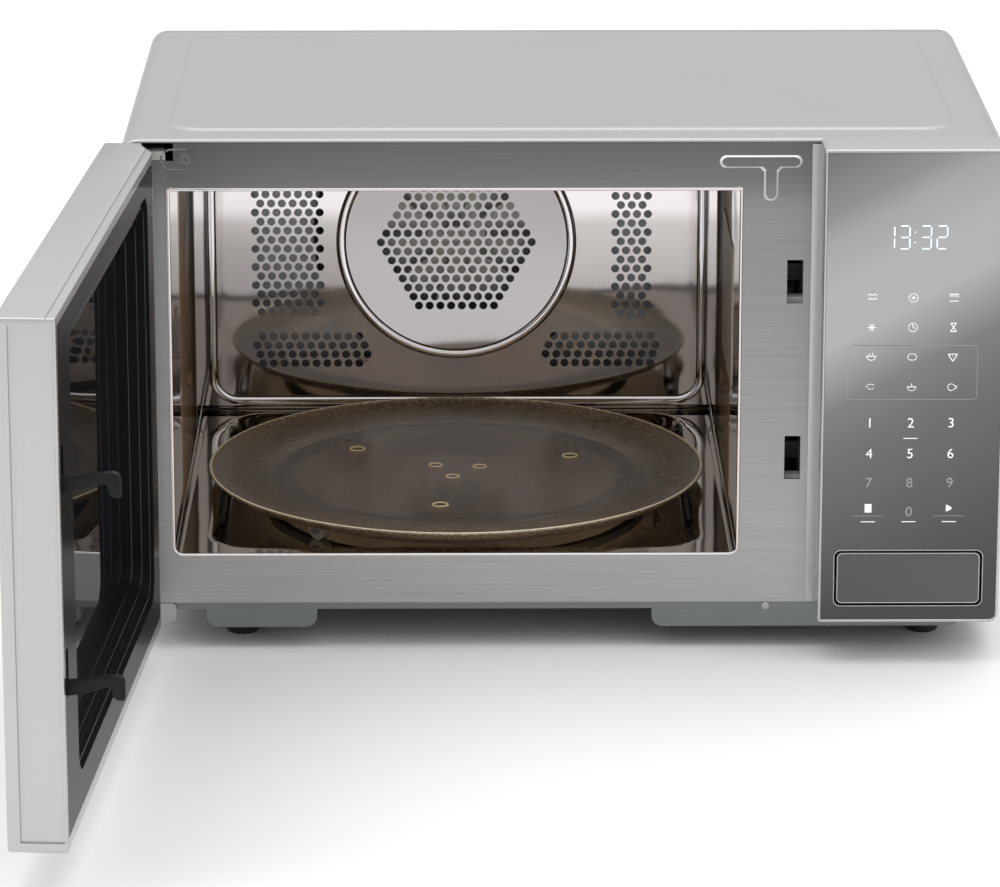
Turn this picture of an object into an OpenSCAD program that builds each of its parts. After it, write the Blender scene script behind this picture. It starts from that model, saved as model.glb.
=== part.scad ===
// Countertop convection microwave oven: side-hinged door with two latch hooks,
// push-open button, turntable on a roller ring, convection fan at the rear.
// Millimetres, Z up, front towards -Y. The origin is on the standing surface,
// under the middle of the whole oven with its door resting open. Sub-parts are
// laid out from the cabinet's middle and by their distance behind the front
// plane, and the door is laid out shut and swung to rest open.

/* [Cabinet] */
// Width over the side panels
body_w = 553; // [550:1:556]
// Depth from the front plane to the rear panel
body_d = 350; // [349:1:354]
// Height from the standing surface to the roof
body_h = 331; // [329:1:334]
// Radius of the bends between roof and sides
roof_r = 12; // [8:1:16]
// Height that the stiffening emboss stands out of the roof and sides
emboss = 1.4; // [0.8:0.1:1.6]
// Height of the feet under the base bulges
foot_h = 14; // [13:0.5:14]

/* [Cavity] */
// Width inside the cavity
cav_w = 354; // [350:1:356]
// Depth from the front plane to the rear wall
cav_d = 344; // [340:1:344]
// Height of the cavity floor's rim above the standing surface
cav_z = 61.5; // [60:0.5:62]
// Height of the cavity ceiling above the standing surface
cav_top = 300; // [297:1:302]
// Diameter of the holes in the rear wall
vent_d = 5.6; // [4:0.2:6]

/* [Door] */
// Width of the door
door_w = 434; // [432:1:435]
// Opening angle at which the door rests
door_open = 94; // [90:1:105]
// Length that the latch hooks reach out of the door's inner face
hook_reach = 32; // [28:1:34]

/* [Turntable] */
// Radius of the glass tray
tray_r = 164; // [158:1:166]
// Radius of the rollers
roller_r = 7; // [6.5:0.1:7]
// Radius of the circle that the rollers run on
track_r = 131; // [126:1:134]

/* [Control panel] */
// Width of the control panel
panel_w = 113.5; // [112:0.5:114]
// Distance that the door and the panel stand in front of the front plane
face_y = 35; // [34:0.5:36]
// Travel of the open button
button_travel = 5; // [3:0.5:5]

/* [Hidden] */
$fn = 48;
sheet = 1.2;                       // cabinet sheet
lining = 1;                        // cavity sheet
gap = 0.2;                         // play between pressed panels
clear = 1;                         // how far cutters run past a face
side_x = body_w / 2 - emboss;      // outer face of the side panels
roof_z = body_h - emboss;          // outer face of the roof
skirt_z = 22;                      // lower edge of the side panels
inner_x = side_x - sheet - gap;    // half width of panels inside the wrapper
inner_z = roof_z - sheet - gap;
emboss_in = 28;                    // inset of the embossed fields
cav_x = -67;
cav_l = cav_x - cav_w / 2;
cav_r = cav_x + cav_w / 2;
floor_z = cav_z - 12;              // turntable well
well_x = 157.2;                    // half width of the well
table_y = 175;                     // turntable axis behind the front plane
base_z = 26;
bulge_z = foot_h;                  // underside of the base bulges
bulges = [[-225, -155], [57, 253]];
foot_x = [-204, 232];
foot_y = [40, 308];
fan_x = -66.6;                     // convection fan axis
fan_z = 182;
casing_y = cav_d + lining;         // front of the convection casing
casing_d = 48;
cover_d = 95;                      // how far the rear cover stands out
door_l = -body_w / 2;
door_r = door_l + door_w;
door_z0 = 27.7;
door_y = -1.5;                     // inner face of the shut door
skin = 2.4;                        // door and panel mouldings
lip = 5.2;                         // rim of the door shell round the choke cover
lip_low = 7.2;                     // the same along its lower edge
plan_cut = 1.5;                    // corner chamfer of the door's plan
hinge_x = door_l + 8.5;
hinge_y = -19.5;
open_x = hinge_x + (door_r - plan_cut - hinge_x) * cos(door_open)
    - (face_y + hinge_y) * sin(door_open);
open_y = hinge_y - (door_r - hinge_x) * sin(door_open) + (door_y - hinge_y) * cos(door_open);
mid_x = (open_x + body_w / 2) / 2; // middle of the oven with its door open
mid_y = (open_y + body_d + cover_d) / 2;
pin_r = 3;
pin_play = 0.05;
arm_z = 323;                       // underside of the upper hinge plate
arm_t = 2.5;
low_arm_z = 24.6;                  // underside of the lower hinge plate
hook_z = [119.5, 235];             // hooks at the latch key's low position
key_x = 140.9;
key_t = 5;
latch_lift = 6;                    // travel of the latch key
slot_z = [[111.5, 139.6], [225.5, 253.3]];
panel_l = body_w / 2 - 117;
panel_r = panel_l + panel_w;
panel_z0 = 27.7;
button_x = [171.1, 260.8];
button_z = [40.2, 73.4];
window_x = [168.7, 262.6];         // button opening in glass and bezel
window_z = [38.4, 75.8];
stem_x = [177, 187];
stem_z = [53, 59];
seat_y = button_travel - 18;       // seat of the button's spring
seat_t = 2.5;
pivot_y = 8;                       // release lever pivot
pivot_z = 84;
pivot_r = 2.5;
axle_z = floor_z + roller_r + 0.1;
tray_z = floor_z + 2 * roller_r + 0.3;
ring_r = track_r - 6;
axle_r = 2;
roller_angles = [-12, 108, 228];
vent_pitch = 7.43;
vent_row = vent_pitch * sin(60);
screw_places = [
    [-262, 60], [-262, 200], [-262, 300], [262, 110], [262, 200], [262, 300],
    [-120, 318], [150, 318]
];

// ---- Placing and plain shapes ----

// Places children laid out from the cabinet's middle and the front plane
module from_front() {
    translate([-mid_x, -mid_y, 0]) children();
}

// Swings children, laid out on the shut door, to the rest opening
module on_door() {
    from_front()
        translate([hinge_x, hinge_y, 0])
            rotate([0, 0, -door_open])
                translate([-hinge_x, -hinge_y, 0]) children();
}

// Carries an outline in X and Z along Y
module front_plate(y0, y1) {
    translate([0, y1, 0]) rotate([90, 0, 0]) linear_extrude(y1 - y0) children();
}

// Carries an outline in Y and Z along X
module side_plate(x0, x1) {
    translate([x0, 0, 0]) rotate([90, 0, 90]) linear_extrude(x1 - x0) children();
}

// Carries an outline in X and Y along Z
module flat_plate(z0, z1) {
    translate([0, 0, z0]) linear_extrude(z1 - z0) children();
}

// Box given by its ends on each axis
module block(x0, x1, y0, y1, z0, z1) {
    translate([x0, y0, z0]) cube([x1 - x0, y1 - y0, z1 - z0]);
}

// Rectangle given by its ends
module area(x0, x1, y0, y1) {
    translate([x0, y0]) square([x1 - x0, y1 - y0]);
}

// Rectangle given by its ends, with corners of radius r
module patch(x0, x1, y0, y1, r) {
    area(x0 + r, x1 - r, y0, y1);
    area(x0, x1, y0 + r, y1 - r);
    for (x = [x0 + r, x1 - r], y = [y0 + r, y1 - r]) translate([x, y]) circle(r);
}

// Rectangle with only its upper corners round
module arch(x0, x1, y0, y1, r) {
    patch(x0, x1, y0, y1, r);
    area(x0, x1, y0, (y0 + y1) / 2);
}

// Rod along Y
module rod_y(x, z, r, y0, y1) {
    translate([x, y0, z]) rotate([-90, 0, 0]) cylinder(h = y1 - y0, r = r);
}

// Rod along X
module rod_x(y, z, r, x0, x1) {
    translate([x0, y, z]) rotate([0, 90, 0]) cylinder(h = x1 - x0, r = r);
}

// Wire wound round Z from the origin upwards, 12 rings of 8 points a turn
module coil(r, wire_r, pitch, turns) {
    rings = 12 * turns;
    points = [for (i = [0 : rings], j = [0 : 7])
        let (a = 30 * i, b = 45 * j, reach = r + wire_r * cos(b))
        [reach * cos(a), reach * sin(a), pitch * a / 360 + wire_r * sin(b)]];
    walls = [for (i = [0 : rings - 1], j = [0 : 7])
        [8 * i + j, 8 * i + (j + 1) % 8, 8 * (i + 1) + (j + 1) % 8, 8 * (i + 1) + j]];
    ends = [[for (j = [7 : -1 : 0]) j], [for (j = [0 : 7]) 8 * rings + j]];
    polyhedron(points, concat(walls, ends));
}

// ---- Cabinet ----

// Slots in both side panels for the cooling air
module side_vents() {
    for (i = [0 : 11], z = [48, 66])
        side_plate(-side_x - clear, side_x + clear)
            patch(214 + 9 * i, 217 + 9 * i, z, z + 12, 1.4);
}

// Inverted U of painted sheet: roof and both sides in one piece, embossed
module outer_wrapper() {
    color("silver") from_front() difference() {
        union() {
            front_plate(0, body_d) arch(-side_x, side_x, skirt_z, roof_z, roof_r);
            flat_plate(roof_z - sheet, body_h)
                patch(-side_x + emboss_in, side_x - emboss_in, emboss_in, body_d - emboss_in, 24);
            side_plate(-body_w / 2, body_w / 2) patch(emboss_in, body_d - emboss_in, 88, 306, 24);
        }
        front_plate(-clear, body_d + clear)
            arch(-side_x + sheet, side_x - sheet, skirt_z + sheet, roof_z - sheet, roof_r - sheet);
        flat_plate(roof_z - 2 * sheet, body_h - sheet)
            patch(-side_x + emboss_in + sheet, side_x - emboss_in - sheet,
                  emboss_in + sheet, body_d - emboss_in - sheet, 24 - sheet);
        side_plate(-body_w / 2 + sheet, body_w / 2 - sheet)
            patch(emboss_in + sheet, body_d - emboss_in - sheet, 88 + sheet, 306 - sheet, 24 - sheet);
        block(-side_x + 11, side_x - 11, -clear, body_d + clear, skirt_z - clear, skirt_z + 2 * sheet);
        side_vents();
    }
}

// Flat rear panel with the hole that the convection casing passes through
module rear_panel() {
    color("darkgray") from_front() front_plate(body_d - sheet, body_d) difference() {
        arch(-inner_x, inner_x, skirt_z + sheet + gap, inner_z, roof_r - sheet - gap);
        patch(cav_l - 1.5, cav_r + 1.5, cav_z - 14, cav_top + 3, 8);
        for (i = [0 : 7], j = [0 : 7]) translate([150 + 10 * i, 185 + 10 * j]) circle(2.6);
        translate([235, 60]) circle(8.2);
        for (p = screw_places) translate(p) circle(1.8);
    }
}

// Sheet box over the convection fan motor, with louvre slots
module convection_cover() {
    l = -225;
    r = 91;
    color("darkgray") from_front() difference() {
        union() {
            front_plate(body_d, body_d + cover_d) patch(l, r, 60, 300, 14);
            front_plate(body_d, body_d + sheet) patch(cav_l - 10, cav_r + 10, cav_z - 20, 309, 8);
        }
        front_plate(body_d - clear, body_d + cover_d - sheet)
            patch(l + sheet, r - sheet, 60 + sheet, 300 - sheet, 14 - sheet);
        for (i = [0 : 9], z = [86, 222])
            front_plate(body_d + 50, body_d + cover_d + clear)
                patch(-117 + 11 * i, -113 + 11 * i, z, z + 48, 1.9);
        for (i = [0 : 4])
            side_plate(l - clear, r + clear)
                patch(body_d + 22 + 12 * i, body_d + 26 + 12 * i, 120, 240, 1.9);
    }
}

// Outline of the base pan in X and Z, drawn in by t on every side
module base_outline(t) {
    area(-inner_x + 9 + t, inner_x - 9 - t, base_z + t, 40 + t);
    for (b = bulges) patch(b[0] + t, b[1] - t, bulge_z + t, base_z + 12, 7 - t);
}

// Pan of sheet steel with two deep bulges that carry the feet
module base_plate() {
    color("dimgray") from_front() difference() {
        front_plate(1.5, body_d - 2.5) base_outline(0);
        front_plate(1.5 + sheet, body_d - 2.5 - sheet) base_outline(sheet);
        for (i = [0 : 11], y = [90, 130, 170])
            flat_plate(bulge_z - clear, bulge_z + sheet + clear)
                patch(92 + 11 * i, 96 + 11 * i, y, y + 28, 1.9);
        rod_y(129, 28.2, 1.3, 0, 4);
    }
}

// Moulded foot, narrower at the floor
module foot(i, j) {
    color("black") from_front() translate([foot_x[i], foot_y[j], 0]) rotate_extrude()
        polygon([[0, 0], [9.5, 0], [10.5, 1.5], [12, bulge_z - 2], [12, bulge_z], [0, bulge_z]]);
}

// Cavity mouth: square above, small corners below
module mouth(grow) {
    l = cav_l - grow;
    r = cav_r + grow;
    patch(l, r, cav_z + 1.7 - grow, cav_top - 2 + grow, 5);
    area(l, r, 200, cav_top - 2 + grow);
}

// Brushed steel front plate with the cavity mouth and the latch slots
module front_frame() {
    color("gray") from_front() difference() {
        union() {
            front_plate(0, sheet)
                arch(-inner_x, inner_x, 30.7, inner_z, roof_r - sheet - gap);
            front_plate(-0.8, 0) mouth(1.6);
            front_plate(-0.8, 0) patch(98.2, 146.8, 313.2, 318.8, 2.7);
            front_plate(-0.8, 0) patch(125.6, 132.1, 292.3, 316, 3.2);
            rod_y(-233, 318, 6, -0.6, 0);
        }
        front_plate(-2, sheet + clear) mouth(0);
        for (x = [cav_l + 1, cav_r - 1]) rod_y(x, cav_top - 1.5, 1.7, -2, sheet + clear);
        for (z = slot_z) front_plate(-clear, sheet + clear) area(139.6, 149.6, z[0], z[1]);
        front_plate(-clear, sheet + clear) area(-inner_x - clear, -241, 317, inner_z + clear);
        front_plate(-clear, sheet + clear) patch(167, 262, 92, 318, 4);
        front_plate(-clear, sheet + clear) patch(172, 192, 46, 70, 3);
    }
}

// ---- Cavity ----

// Left wall, ceiling and right wall of the cavity in one bend
module cavity_walls() {
    color("gainsboro") from_front() difference() {
        union() {
            front_plate(sheet, cav_d) area(cav_l - lining, cav_r + lining, cav_z, cav_top + lining);
            for (x = [cav_l, cav_r]) side_plate(x - 2.5, x + 2.5) translate([table_y, 131]) circle(6);
        }
        difference() {
            front_plate(0, cav_d + clear) area(cav_l, cav_r, cav_z - clear, cav_top);
            for (x = [cav_l, cav_r]) side_plate(x - 2.5, x + 2.5) translate([table_y, 131]) circle(6);
        }
        side_plate(cav_r - clear, cav_r + 4) area(84, 180, 158, 236);
        for (i = [0 : 4], j = [0 : 3])
            rod_x(206 + 4 * i, 272 + 4 * j, 1.4, cav_r - clear, cav_r + lining + clear);
        for (i = [0 : 7], j = [0 : 4])
            translate([-90 + 6 * i, 40 + 6 * j, cav_top - clear]) cylinder(h = 4, r = 1.8);
    }
}

// Outline of the turntable well in X and Y
module well(t) {
    patch(cav_x - well_x + t, cav_x + well_x - t, 18 + t, cav_d - 4 - t, 33 - t);
}

// Floor pressed down into a rounded square well, with a hole for the drive
module cavity_floor() {
    color("gainsboro") from_front() difference() {
        union() {
            block(cav_l, cav_r, sheet, cav_d, cav_z - lining, cav_z);
            flat_plate(floor_z - lining, cav_z - 0.5) well(0);
        }
        flat_plate(floor_z, cav_z - 6) well(lining + 6);
        flat_plate(cav_z - 6, cav_z - 3) well(lining + 3);
        flat_plate(cav_z - 3, cav_z + clear) well(lining);
        translate([cav_x, table_y, floor_z - 5]) cylinder(h = 10, r = 12);
    }
}

// Places children at the holes of a row: n holes with the first at x, height z
module vent_holes(x, z, n) {
    for (i = [0 : n - 1]) translate([x + vent_pitch * i, z]) circle(vent_d / 2);
}

// Perforated rear wall, with a raised border bead and a bead round the fan
module cavity_rear_wall() {
    color("lightgray") from_front() difference() {
        union() {
            front_plate(cav_d, cav_d + lining)
                area(cav_l, cav_r, cav_z - lining, cav_top);
            front_plate(cav_d - 1, cav_d) difference() {
                patch(-237.5, 105, 67, cav_top - 6, 19);
                patch(-233.5, 101, 72, cav_top - 10, 15);
            }
            front_plate(cav_d - 0.8, cav_d) translate([fan_x, fan_z]) difference() {
                circle(81.5, $fn = 96);
                circle(77.5, $fn = 96);
            }
        }
        front_plate(cav_d - clear, cav_d + lining + clear) {
            for (j = [-7 : 7])
                let (n = 15 - abs(j))
                vent_holes(fan_x - vent_pitch * (n - 1) / 2, fan_z + vent_row * j, n);
            for (j = [0 : 15])
                vent_holes(-201.6 - vent_pitch / 2 * (j % 2), 132.5 + vent_row * j, 6 + j % 2);
            for (j = [0 : 15])
                vent_holes(46.9 - vent_pitch / 2 * (j % 2), 131 + vent_row * j, 3 + j % 2);
            for (side = [-1, 1], j = [0 : 3])
                let (n = j == 1 || j == 2 ? 11 : 10, mid = fan_x + side * 101 + (j == 2 ? side * -2 : 0))
                vent_holes(mid - vent_pitch * (n - 1) / 2, 115.1 - vent_row * j, n);
        }
    }
}

// Mica sheet over the waveguide window in the right wall
module waveguide_cover() {
    color("tan") from_front() side_plate(cav_r - 0.6, cav_r) patch(75, 190, 150, 243, 4);
}

// Sheet duct that leads the microwaves from the magnetron to the window
module waveguide() {
    x = cav_r + lining;
    color("gainsboro") from_front() difference() {
        block(x, x + 22, 78, 190, 150, 243);
        block(x - clear, x + 21, 79, 189, 151, 242);
        rod_x(135, 200, 10, x + 20, x + 23);
    }
}

// Magnetron: cooling fins in a yoke, filter box below, antenna to the left
module magnetron() {
    x = cav_r + lining + 22;
    color("slategray") from_front() {
        difference() {
            block(x, x + 78, 96, 174, 160, 240);
            block(x + 2, x + 76, 96 - clear, 174 + clear, 163, 237);
        }
        rod_x(135, 200, 18, x + 2, x + 76);
        for (i = [0 : 7]) block(x + 12 + 7 * i, x + 12.8 + 7 * i, 99, 171, 163, 237);
        rod_x(135, 200, 8, x - 18, x);
        block(x + 10, x + 70, 104, 166, 132, 160);
    }
}

// ---- Convection system ----

// Pressed casing behind the rear wall that holds the fan and the heater
module convection_casing() {
    color("gainsboro") from_front() difference() {
        front_plate(casing_y, casing_y + casing_d) patch(-214, 76, 68, 296, 34);
        front_plate(casing_y - clear, casing_y + casing_d - lining) patch(-213, 75, 69, 295, 33);
        rod_y(fan_x, fan_z, 6, casing_y, casing_y + casing_d + clear);
        for (s = [-12, 12]) rod_y(fan_x + s, fan_z + 96, 4, casing_y, casing_y + casing_d + clear);
    }
}

// Ring of heater tube round the fan, with two legs through the casing
module convection_heater() {
    color("firebrick") from_front() {
        translate([fan_x, casing_y + 22, fan_z]) rotate([90, 0, 0])
            rotate_extrude($fn = 72) translate([96, 0]) circle(3.2, $fn = 20);
        for (s = [-12, 12]) rod_y(fan_x + s, fan_z + 96, 3.2, casing_y + 20, casing_y + 62);
    }
}

// Radial fan wheel on its shaft
module convection_fan() {
    color("silver") from_front() {
        rod_y(fan_x, fan_z, 72, casing_y + 34, casing_y + 35);
        rod_y(fan_x, fan_z, 9, casing_y + 8, casing_y + 40);
        rod_y(fan_x, fan_z, pin_r, casing_y + 8, casing_y + 82);
        for (a = [0 : 36 : 324])
            translate([fan_x, casing_y + 12, fan_z]) rotate([0, a, 0])
                translate([20, 0, 0]) cube([50, 22.5, 1]);
    }
}

// Shaded-pole motor on a bracket behind the casing
module convection_motor() {
    y = casing_y + casing_d;
    color("dimgray") from_front() difference() {
        union() {
            rod_y(fan_x, fan_z, 27, y + 6, y + 32);
            block(fan_x - 34, fan_x + 34, y + 10, y + 26, fan_z - 24, fan_z + 24);
            block(fan_x - 46, fan_x + 46, y, y + 6, fan_z - 10, fan_z + 10);
        }
        rod_y(fan_x, fan_z, pin_r + pin_play, y - clear, y + 33);
    }
}

// ---- Electrical bay ----

// Small lamp bulb outside the right wall
module cavity_lamp() {
    color("ivory") from_front() translate([cav_r + 4, 214, 278]) rotate([0, 90, 0]) rotate_extrude()
        polygon([[0, 0], [3.5, 0], [6, 1.5], [7, 4.5], [6.6, 8], [5, 12], [5, 20], [0, 20]]);
}

// Sheet holder that shades the lamp
module lamp_holder() {
    x = cav_r + lining;
    color("gainsboro") from_front() difference() {
        block(x, x + 34, 202, 226, 266, 292);
        block(x - clear, x + 33, 203, 225, 267, 291);
    }
}

// Stack of transformer plates
module transformer_core() {
    color("dimgray") from_front() difference() {
        block(122, 214, 84, 150, bulge_z + sheet, 92);
        for (z = [30, 62]) block(121, 215, 98, 136, z, z + 18);
    }
}

// Primary and secondary windings round the core's middle limb
module transformer_windings() {
    color("peru") from_front() for (z = [30.3, 62.3]) block(112.5, 223.5, 98.3, 135.7, z, z + 17.4);
}

// Oval capacitor can
module capacitor() {
    color("silver") from_front() {
        block(212, 238, 170, 208, bulge_z + sheet, 108);
        for (y = [170, 208]) translate([225, y, bulge_z + sheet]) cylinder(h = 108 - bulge_z - sheet, r = 13);
        for (y = [178, 200]) translate([225, y, 108]) cylinder(h = 9, r = 3);
    }
}

// High voltage diode with its earth tag
module diode() {
    color("black") from_front() {
        rod_y(225, 126, 4.5, 178, 202);
        block(223, 227, 168, 178, 125, 127);
    }
}

// Axial blade wheel of the cooling fan on its shaft
module cooling_fan_blade() {
    color("lightgray") from_front() {
        rod_y(195, 214, 13, 262, 280);
        rod_y(195, 214, 2.5, 262, 322);
        for (a = [0 : 72 : 288])
            translate([195, 271, 214]) rotate([0, a, 0])
                translate([11, 0, 0]) rotate([35, 0, 0]) translate([0, -10, -0.9]) cube([39, 20, 1.8]);
    }
}

// Motor of the cooling fan with its two mounting arms
module cooling_fan_motor() {
    color("dimgray") from_front() difference() {
        union() {
            rod_y(195, 214, 17, 296, 322);
            block(175, 215, 300, 316, 196, 232);
            block(130, 260, 300, 303, 209, 219);
        }
        rod_y(195, 214, 2.5 + pin_play, 290, 330);
    }
}

// Fan plate with a round throat and four posts that carry the motor's arms
module fan_shroud() {
    color("gainsboro") from_front() difference() {
        union() {
            block(128, 262, 255, 258, 150, 280);
            rod_y(195, 214, 58, 258, 284);
            for (x = [130, 253]) block(x, x + 7, 258, 300, 206, 222);
        }
        rod_y(195, 214, 54, 254, 285);
    }
}

// Duct that leads the fan's air through the magnetron's fins
module air_duct() {
    color("whitesmoke") from_front() difference() {
        block(133.5, 212, 175, 254.8, 159, 241);
        block(135, 210.5, 175 - clear, 256, 160.5, 239.5);
    }
}

// Mains filter board with its choke, fuse and capacitor
module noise_filter() {
    color("seagreen") from_front() {
        block(140, 228, 240, 326, bulge_z + 14, bulge_z + 15.6);
        for (x = [146, 222], y = [246, 320])
            translate([x, y, bulge_z + sheet]) cylinder(h = 14 - sheet, r = 3);
        translate([170, 270, bulge_z + 15.6]) cylinder(h = 22, r = 14);
        block(196, 220, 256, 276, bulge_z + 15.6, bulge_z + 34);
        block(150, 214, 304, 312, bulge_z + 15.6, bulge_z + 23);
    }
}

// Thermal cut-outs on the cavity ceiling and on the magnetron
module thermal_cutouts() {
    color("ivory") from_front() {
        block(-36, -4, 246, 262, cav_top + lining, cav_top + 2);
        translate([-20, 254, cav_top + 2]) cylinder(h = 9, r = 7.5);
        translate([150, 135, 240]) cylinder(h = 8, r = 7.5);
    }
}

// ---- Turntable ----

// Flat synchronous motor under the well
module turntable_motor() {
    z = base_z + sheet;
    color("gray") from_front() difference() {
        union() {
            translate([cav_x, table_y, z]) cylinder(h = floor_z - lining - z - 1, r = 25);
            flat_plate(z, z + 2) patch(cav_x - 34, cav_x + 34, table_y - 9, table_y + 9, 8.5);
        }
        translate([cav_x, table_y, z + 4]) cylinder(h = 30, r = pin_r + pin_play);
    }
}

// Plastic coupler: shaft, hub and three lobes under the tray's centre
module drive_coupler() {
    color("whitesmoke") from_front() translate([cav_x, table_y, 0]) {
        translate([0, 0, base_z + sheet + 5]) cylinder(h = 20, r = pin_r);
        translate([0, 0, floor_z - 1]) cylinder(h = tray_z - floor_z + 1, r = 10);
        for (a = [83, 203, 323])
            rotate([0, 0, a]) translate([0, -4, tray_z - 5]) cube([22, 8, 5]);
    }
}

// Ring with three stub axles, lying loose in the well
module roller_ring() {
    color("dimgray") from_front() translate([cav_x, table_y, axle_z]) {
        rotate_extrude($fn = 96) translate([ring_r - 6, -2.5]) square([6, 5]);
        for (a = roller_angles) rotate([0, 0, a]) {
            rod_x(0, 0, axle_r, ring_r - 1, track_r + 6);
            rod_x(0, 0, axle_r + 1, track_r + 4.2, track_r + 6);
        }
    }
}

// Roller that turns on a stub axle
module roller(i) {
    color("whitesmoke") from_front() translate([cav_x, table_y, axle_z])
        rotate([0, 0, roller_angles[i]]) difference() {
            rod_x(0, 0, roller_r, track_r - 3.5, track_r + 3.5);
            rod_x(0, 0, axle_r + pin_play, track_r - 4, track_r + 4);
        }
}

// Round glass tray with a raised rim, three hub lugs that the coupler turns and three pads
module glass_tray() {
    color("powderblue", 0.5) from_front() translate([cav_x, table_y, tray_z]) {
        rotate_extrude($fn = 120) polygon([
            [0, 0], [tray_r - 13, 0], [tray_r - 1.5, 7], [tray_r, 9.2],
            [tray_r - 2.5, 9.2], [tray_r - 13.5, 4], [0, 4]]);
        for (a = [23, 143, 263]) rotate([0, 0, a]) {
            translate([17, 0, -4]) cylinder(h = 5, r = 3.5);
            translate([83, 0, -1.2]) cylinder(h = 2.2, r = 4.5);
        }
    }
}

// ---- Control panel ----

// Outline of the panel in X and Z: small corners at the door, larger outside
module panel_outline(t, z0, z1) {
    patch(panel_l + t, panel_r - t, z0 + t, z1 - t, 6 - t);
    patch(panel_l + t, panel_l + 40, z0 + t, z1 - t, 2.5 - t);
}

// Moulded bezel that carries the glass, the display, the board and the button
module panel_bezel() {
    back = -face_y + 5.4;
    color("silver") from_front() difference() {
        union() {
            front_plate(-face_y, 0) panel_outline(0, panel_z0, body_h);
            front_plate(-1.2, 0) area(154, panel_l + 1, 31, 327);
        }
        front_plate(-face_y - clear, -face_y + 3) panel_outline(2, panel_z0, body_h);
        difference() {
            front_plate(back, clear) area(panel_l + 3, panel_r - 2.5, 30.5, 328);
            block(panel_l, panel_r, seat_y, seat_y + seat_t, 45, 67);
        }
        block(stem_x[0] - 1, stem_x[1] + 1, seat_y - clear, seat_y + seat_t + clear,
              stem_z[0] - 2, stem_z[1] + 2);
        front_plate(-face_y, clear) patch(window_x[0], window_x[1], window_z[0], window_z[1], 4);
        front_plate(-face_y, back + clear) area(197, 241, 264, 288);
    }
}

// Touch glass, with the opening for the button
module panel_glass() {
    color("darkslategray") from_front() front_plate(-face_y + 0.4, -face_y + 2.9) difference() {
        panel_outline(2.3, panel_z0, body_h);
        patch(window_x[0], window_x[1], window_z[0], window_z[1], 4);
    }
}

// Clock display behind the glass
module display_module() {
    color("black") from_front() {
        block(197.5, 240.5, -face_y + 3.2, -22.2, 264.5, 287.5);
        block(193, 245, -face_y + 5.6, -22.2, 258, 294);
    }
}

// Control board with its relays and its small transformer
module control_board() {
    color("seagreen") from_front() {
        block(166, 266, -22, -20.4, 92, 318);
        for (i = [0 : 2]) block(174 + 24 * i, 192 + 24 * i, -20.4, -6, 104, 130);
        block(176, 216, -20.4, -4, 146, 182);
        for (x = [232, 250]) rod_y(x, 160, 6, -20.4, -5);
        block(190, 240, -20.4, -17, 204, 214);
    }
}

// Wide push button with a stem that reaches the release lever
module open_button() {
    color("dimgray") from_front() {
        front_plate(-face_y + 0.4, -29) patch(button_x[0], button_x[1], button_z[0], button_z[1], 3.5);
        front_plate(-29, -24.5) patch(174, 258, 43, 70.5, 2);
        block(stem_x[0], stem_x[1], -24.5, 4, stem_z[0], stem_z[1]);
    }
}

// Return spring of the button
module button_spring() {
    color("silver") from_front() translate([216, seat_y - 0.7, 57]) rotate([90, 0, 0]) coil(5, 0.6, 2, 5);
}

// Rocker: its lower arm meets the button's stem, its upper arm the lower hook
module release_lever() {
    color("whitesmoke") from_front() {
        rod_x(pivot_y, pivot_z, pivot_r, 139, 191.5);
        block(178, 186, 4.3, 9.5, 52, pivot_z);
        block(141, 148, pivot_y - 2.5, pivot_y + 2.5, pivot_z, 101);
        block(141, 148, pivot_y - 2.5, 30, 97, 101);
        block(141, 148, 24, 30, 97, 108.3);
    }
}

// Moulding behind the front plate: catch ledges, lever bearings, switch wall
module latch_bracket() {
    color("whitesmoke") from_front() difference() {
        union() {
            block(150.5, 153, sheet, 56, 74, 262);
            block(150.5, 191.5, sheet, 3.2, 74, 88);
            block(187.5, 190, sheet, 13, 78, 88);
            block(139.5, 150.5, 8, 16, hook_z[0] - 13, hook_z[0] - 7.3);
            block(139.5, 150.5, 8, 16, hook_z[1] - 13, hook_z[1] - 7.3);
        }
        rod_x(pivot_y, pivot_z, pivot_r + pin_play, 149, 193);
    }
}

// Three door switches beside the hooks' path
module microswitches() {
    color("black") from_front() for (z = [116, 232, 246]) {
        block(140.5, 150.5, 33, 53, z, z + 11);
        block(144, 147, 31.5, 33, z + 4, z + 7);
    }
}

// ---- Door ----

// Plan of the door in X and Y with its hinge corner cut back, drawn in by t
module door_plan(t) {
    polygon([
        [door_l + t, -face_y + plan_cut + t / 2], [door_l + plan_cut + t / 2, -face_y + t],
        [door_r - plan_cut - t / 2, -face_y + t], [door_r - t, -face_y + plan_cut + t / 2],
        [door_r - t, t > 0 ? clear : door_y], [-249 + t, t > 0 ? clear : door_y],
        [-249 + t, door_y - t], [-272 + t, -11.5 - t], [door_l + t, -11.5 - t]]);
}

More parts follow.
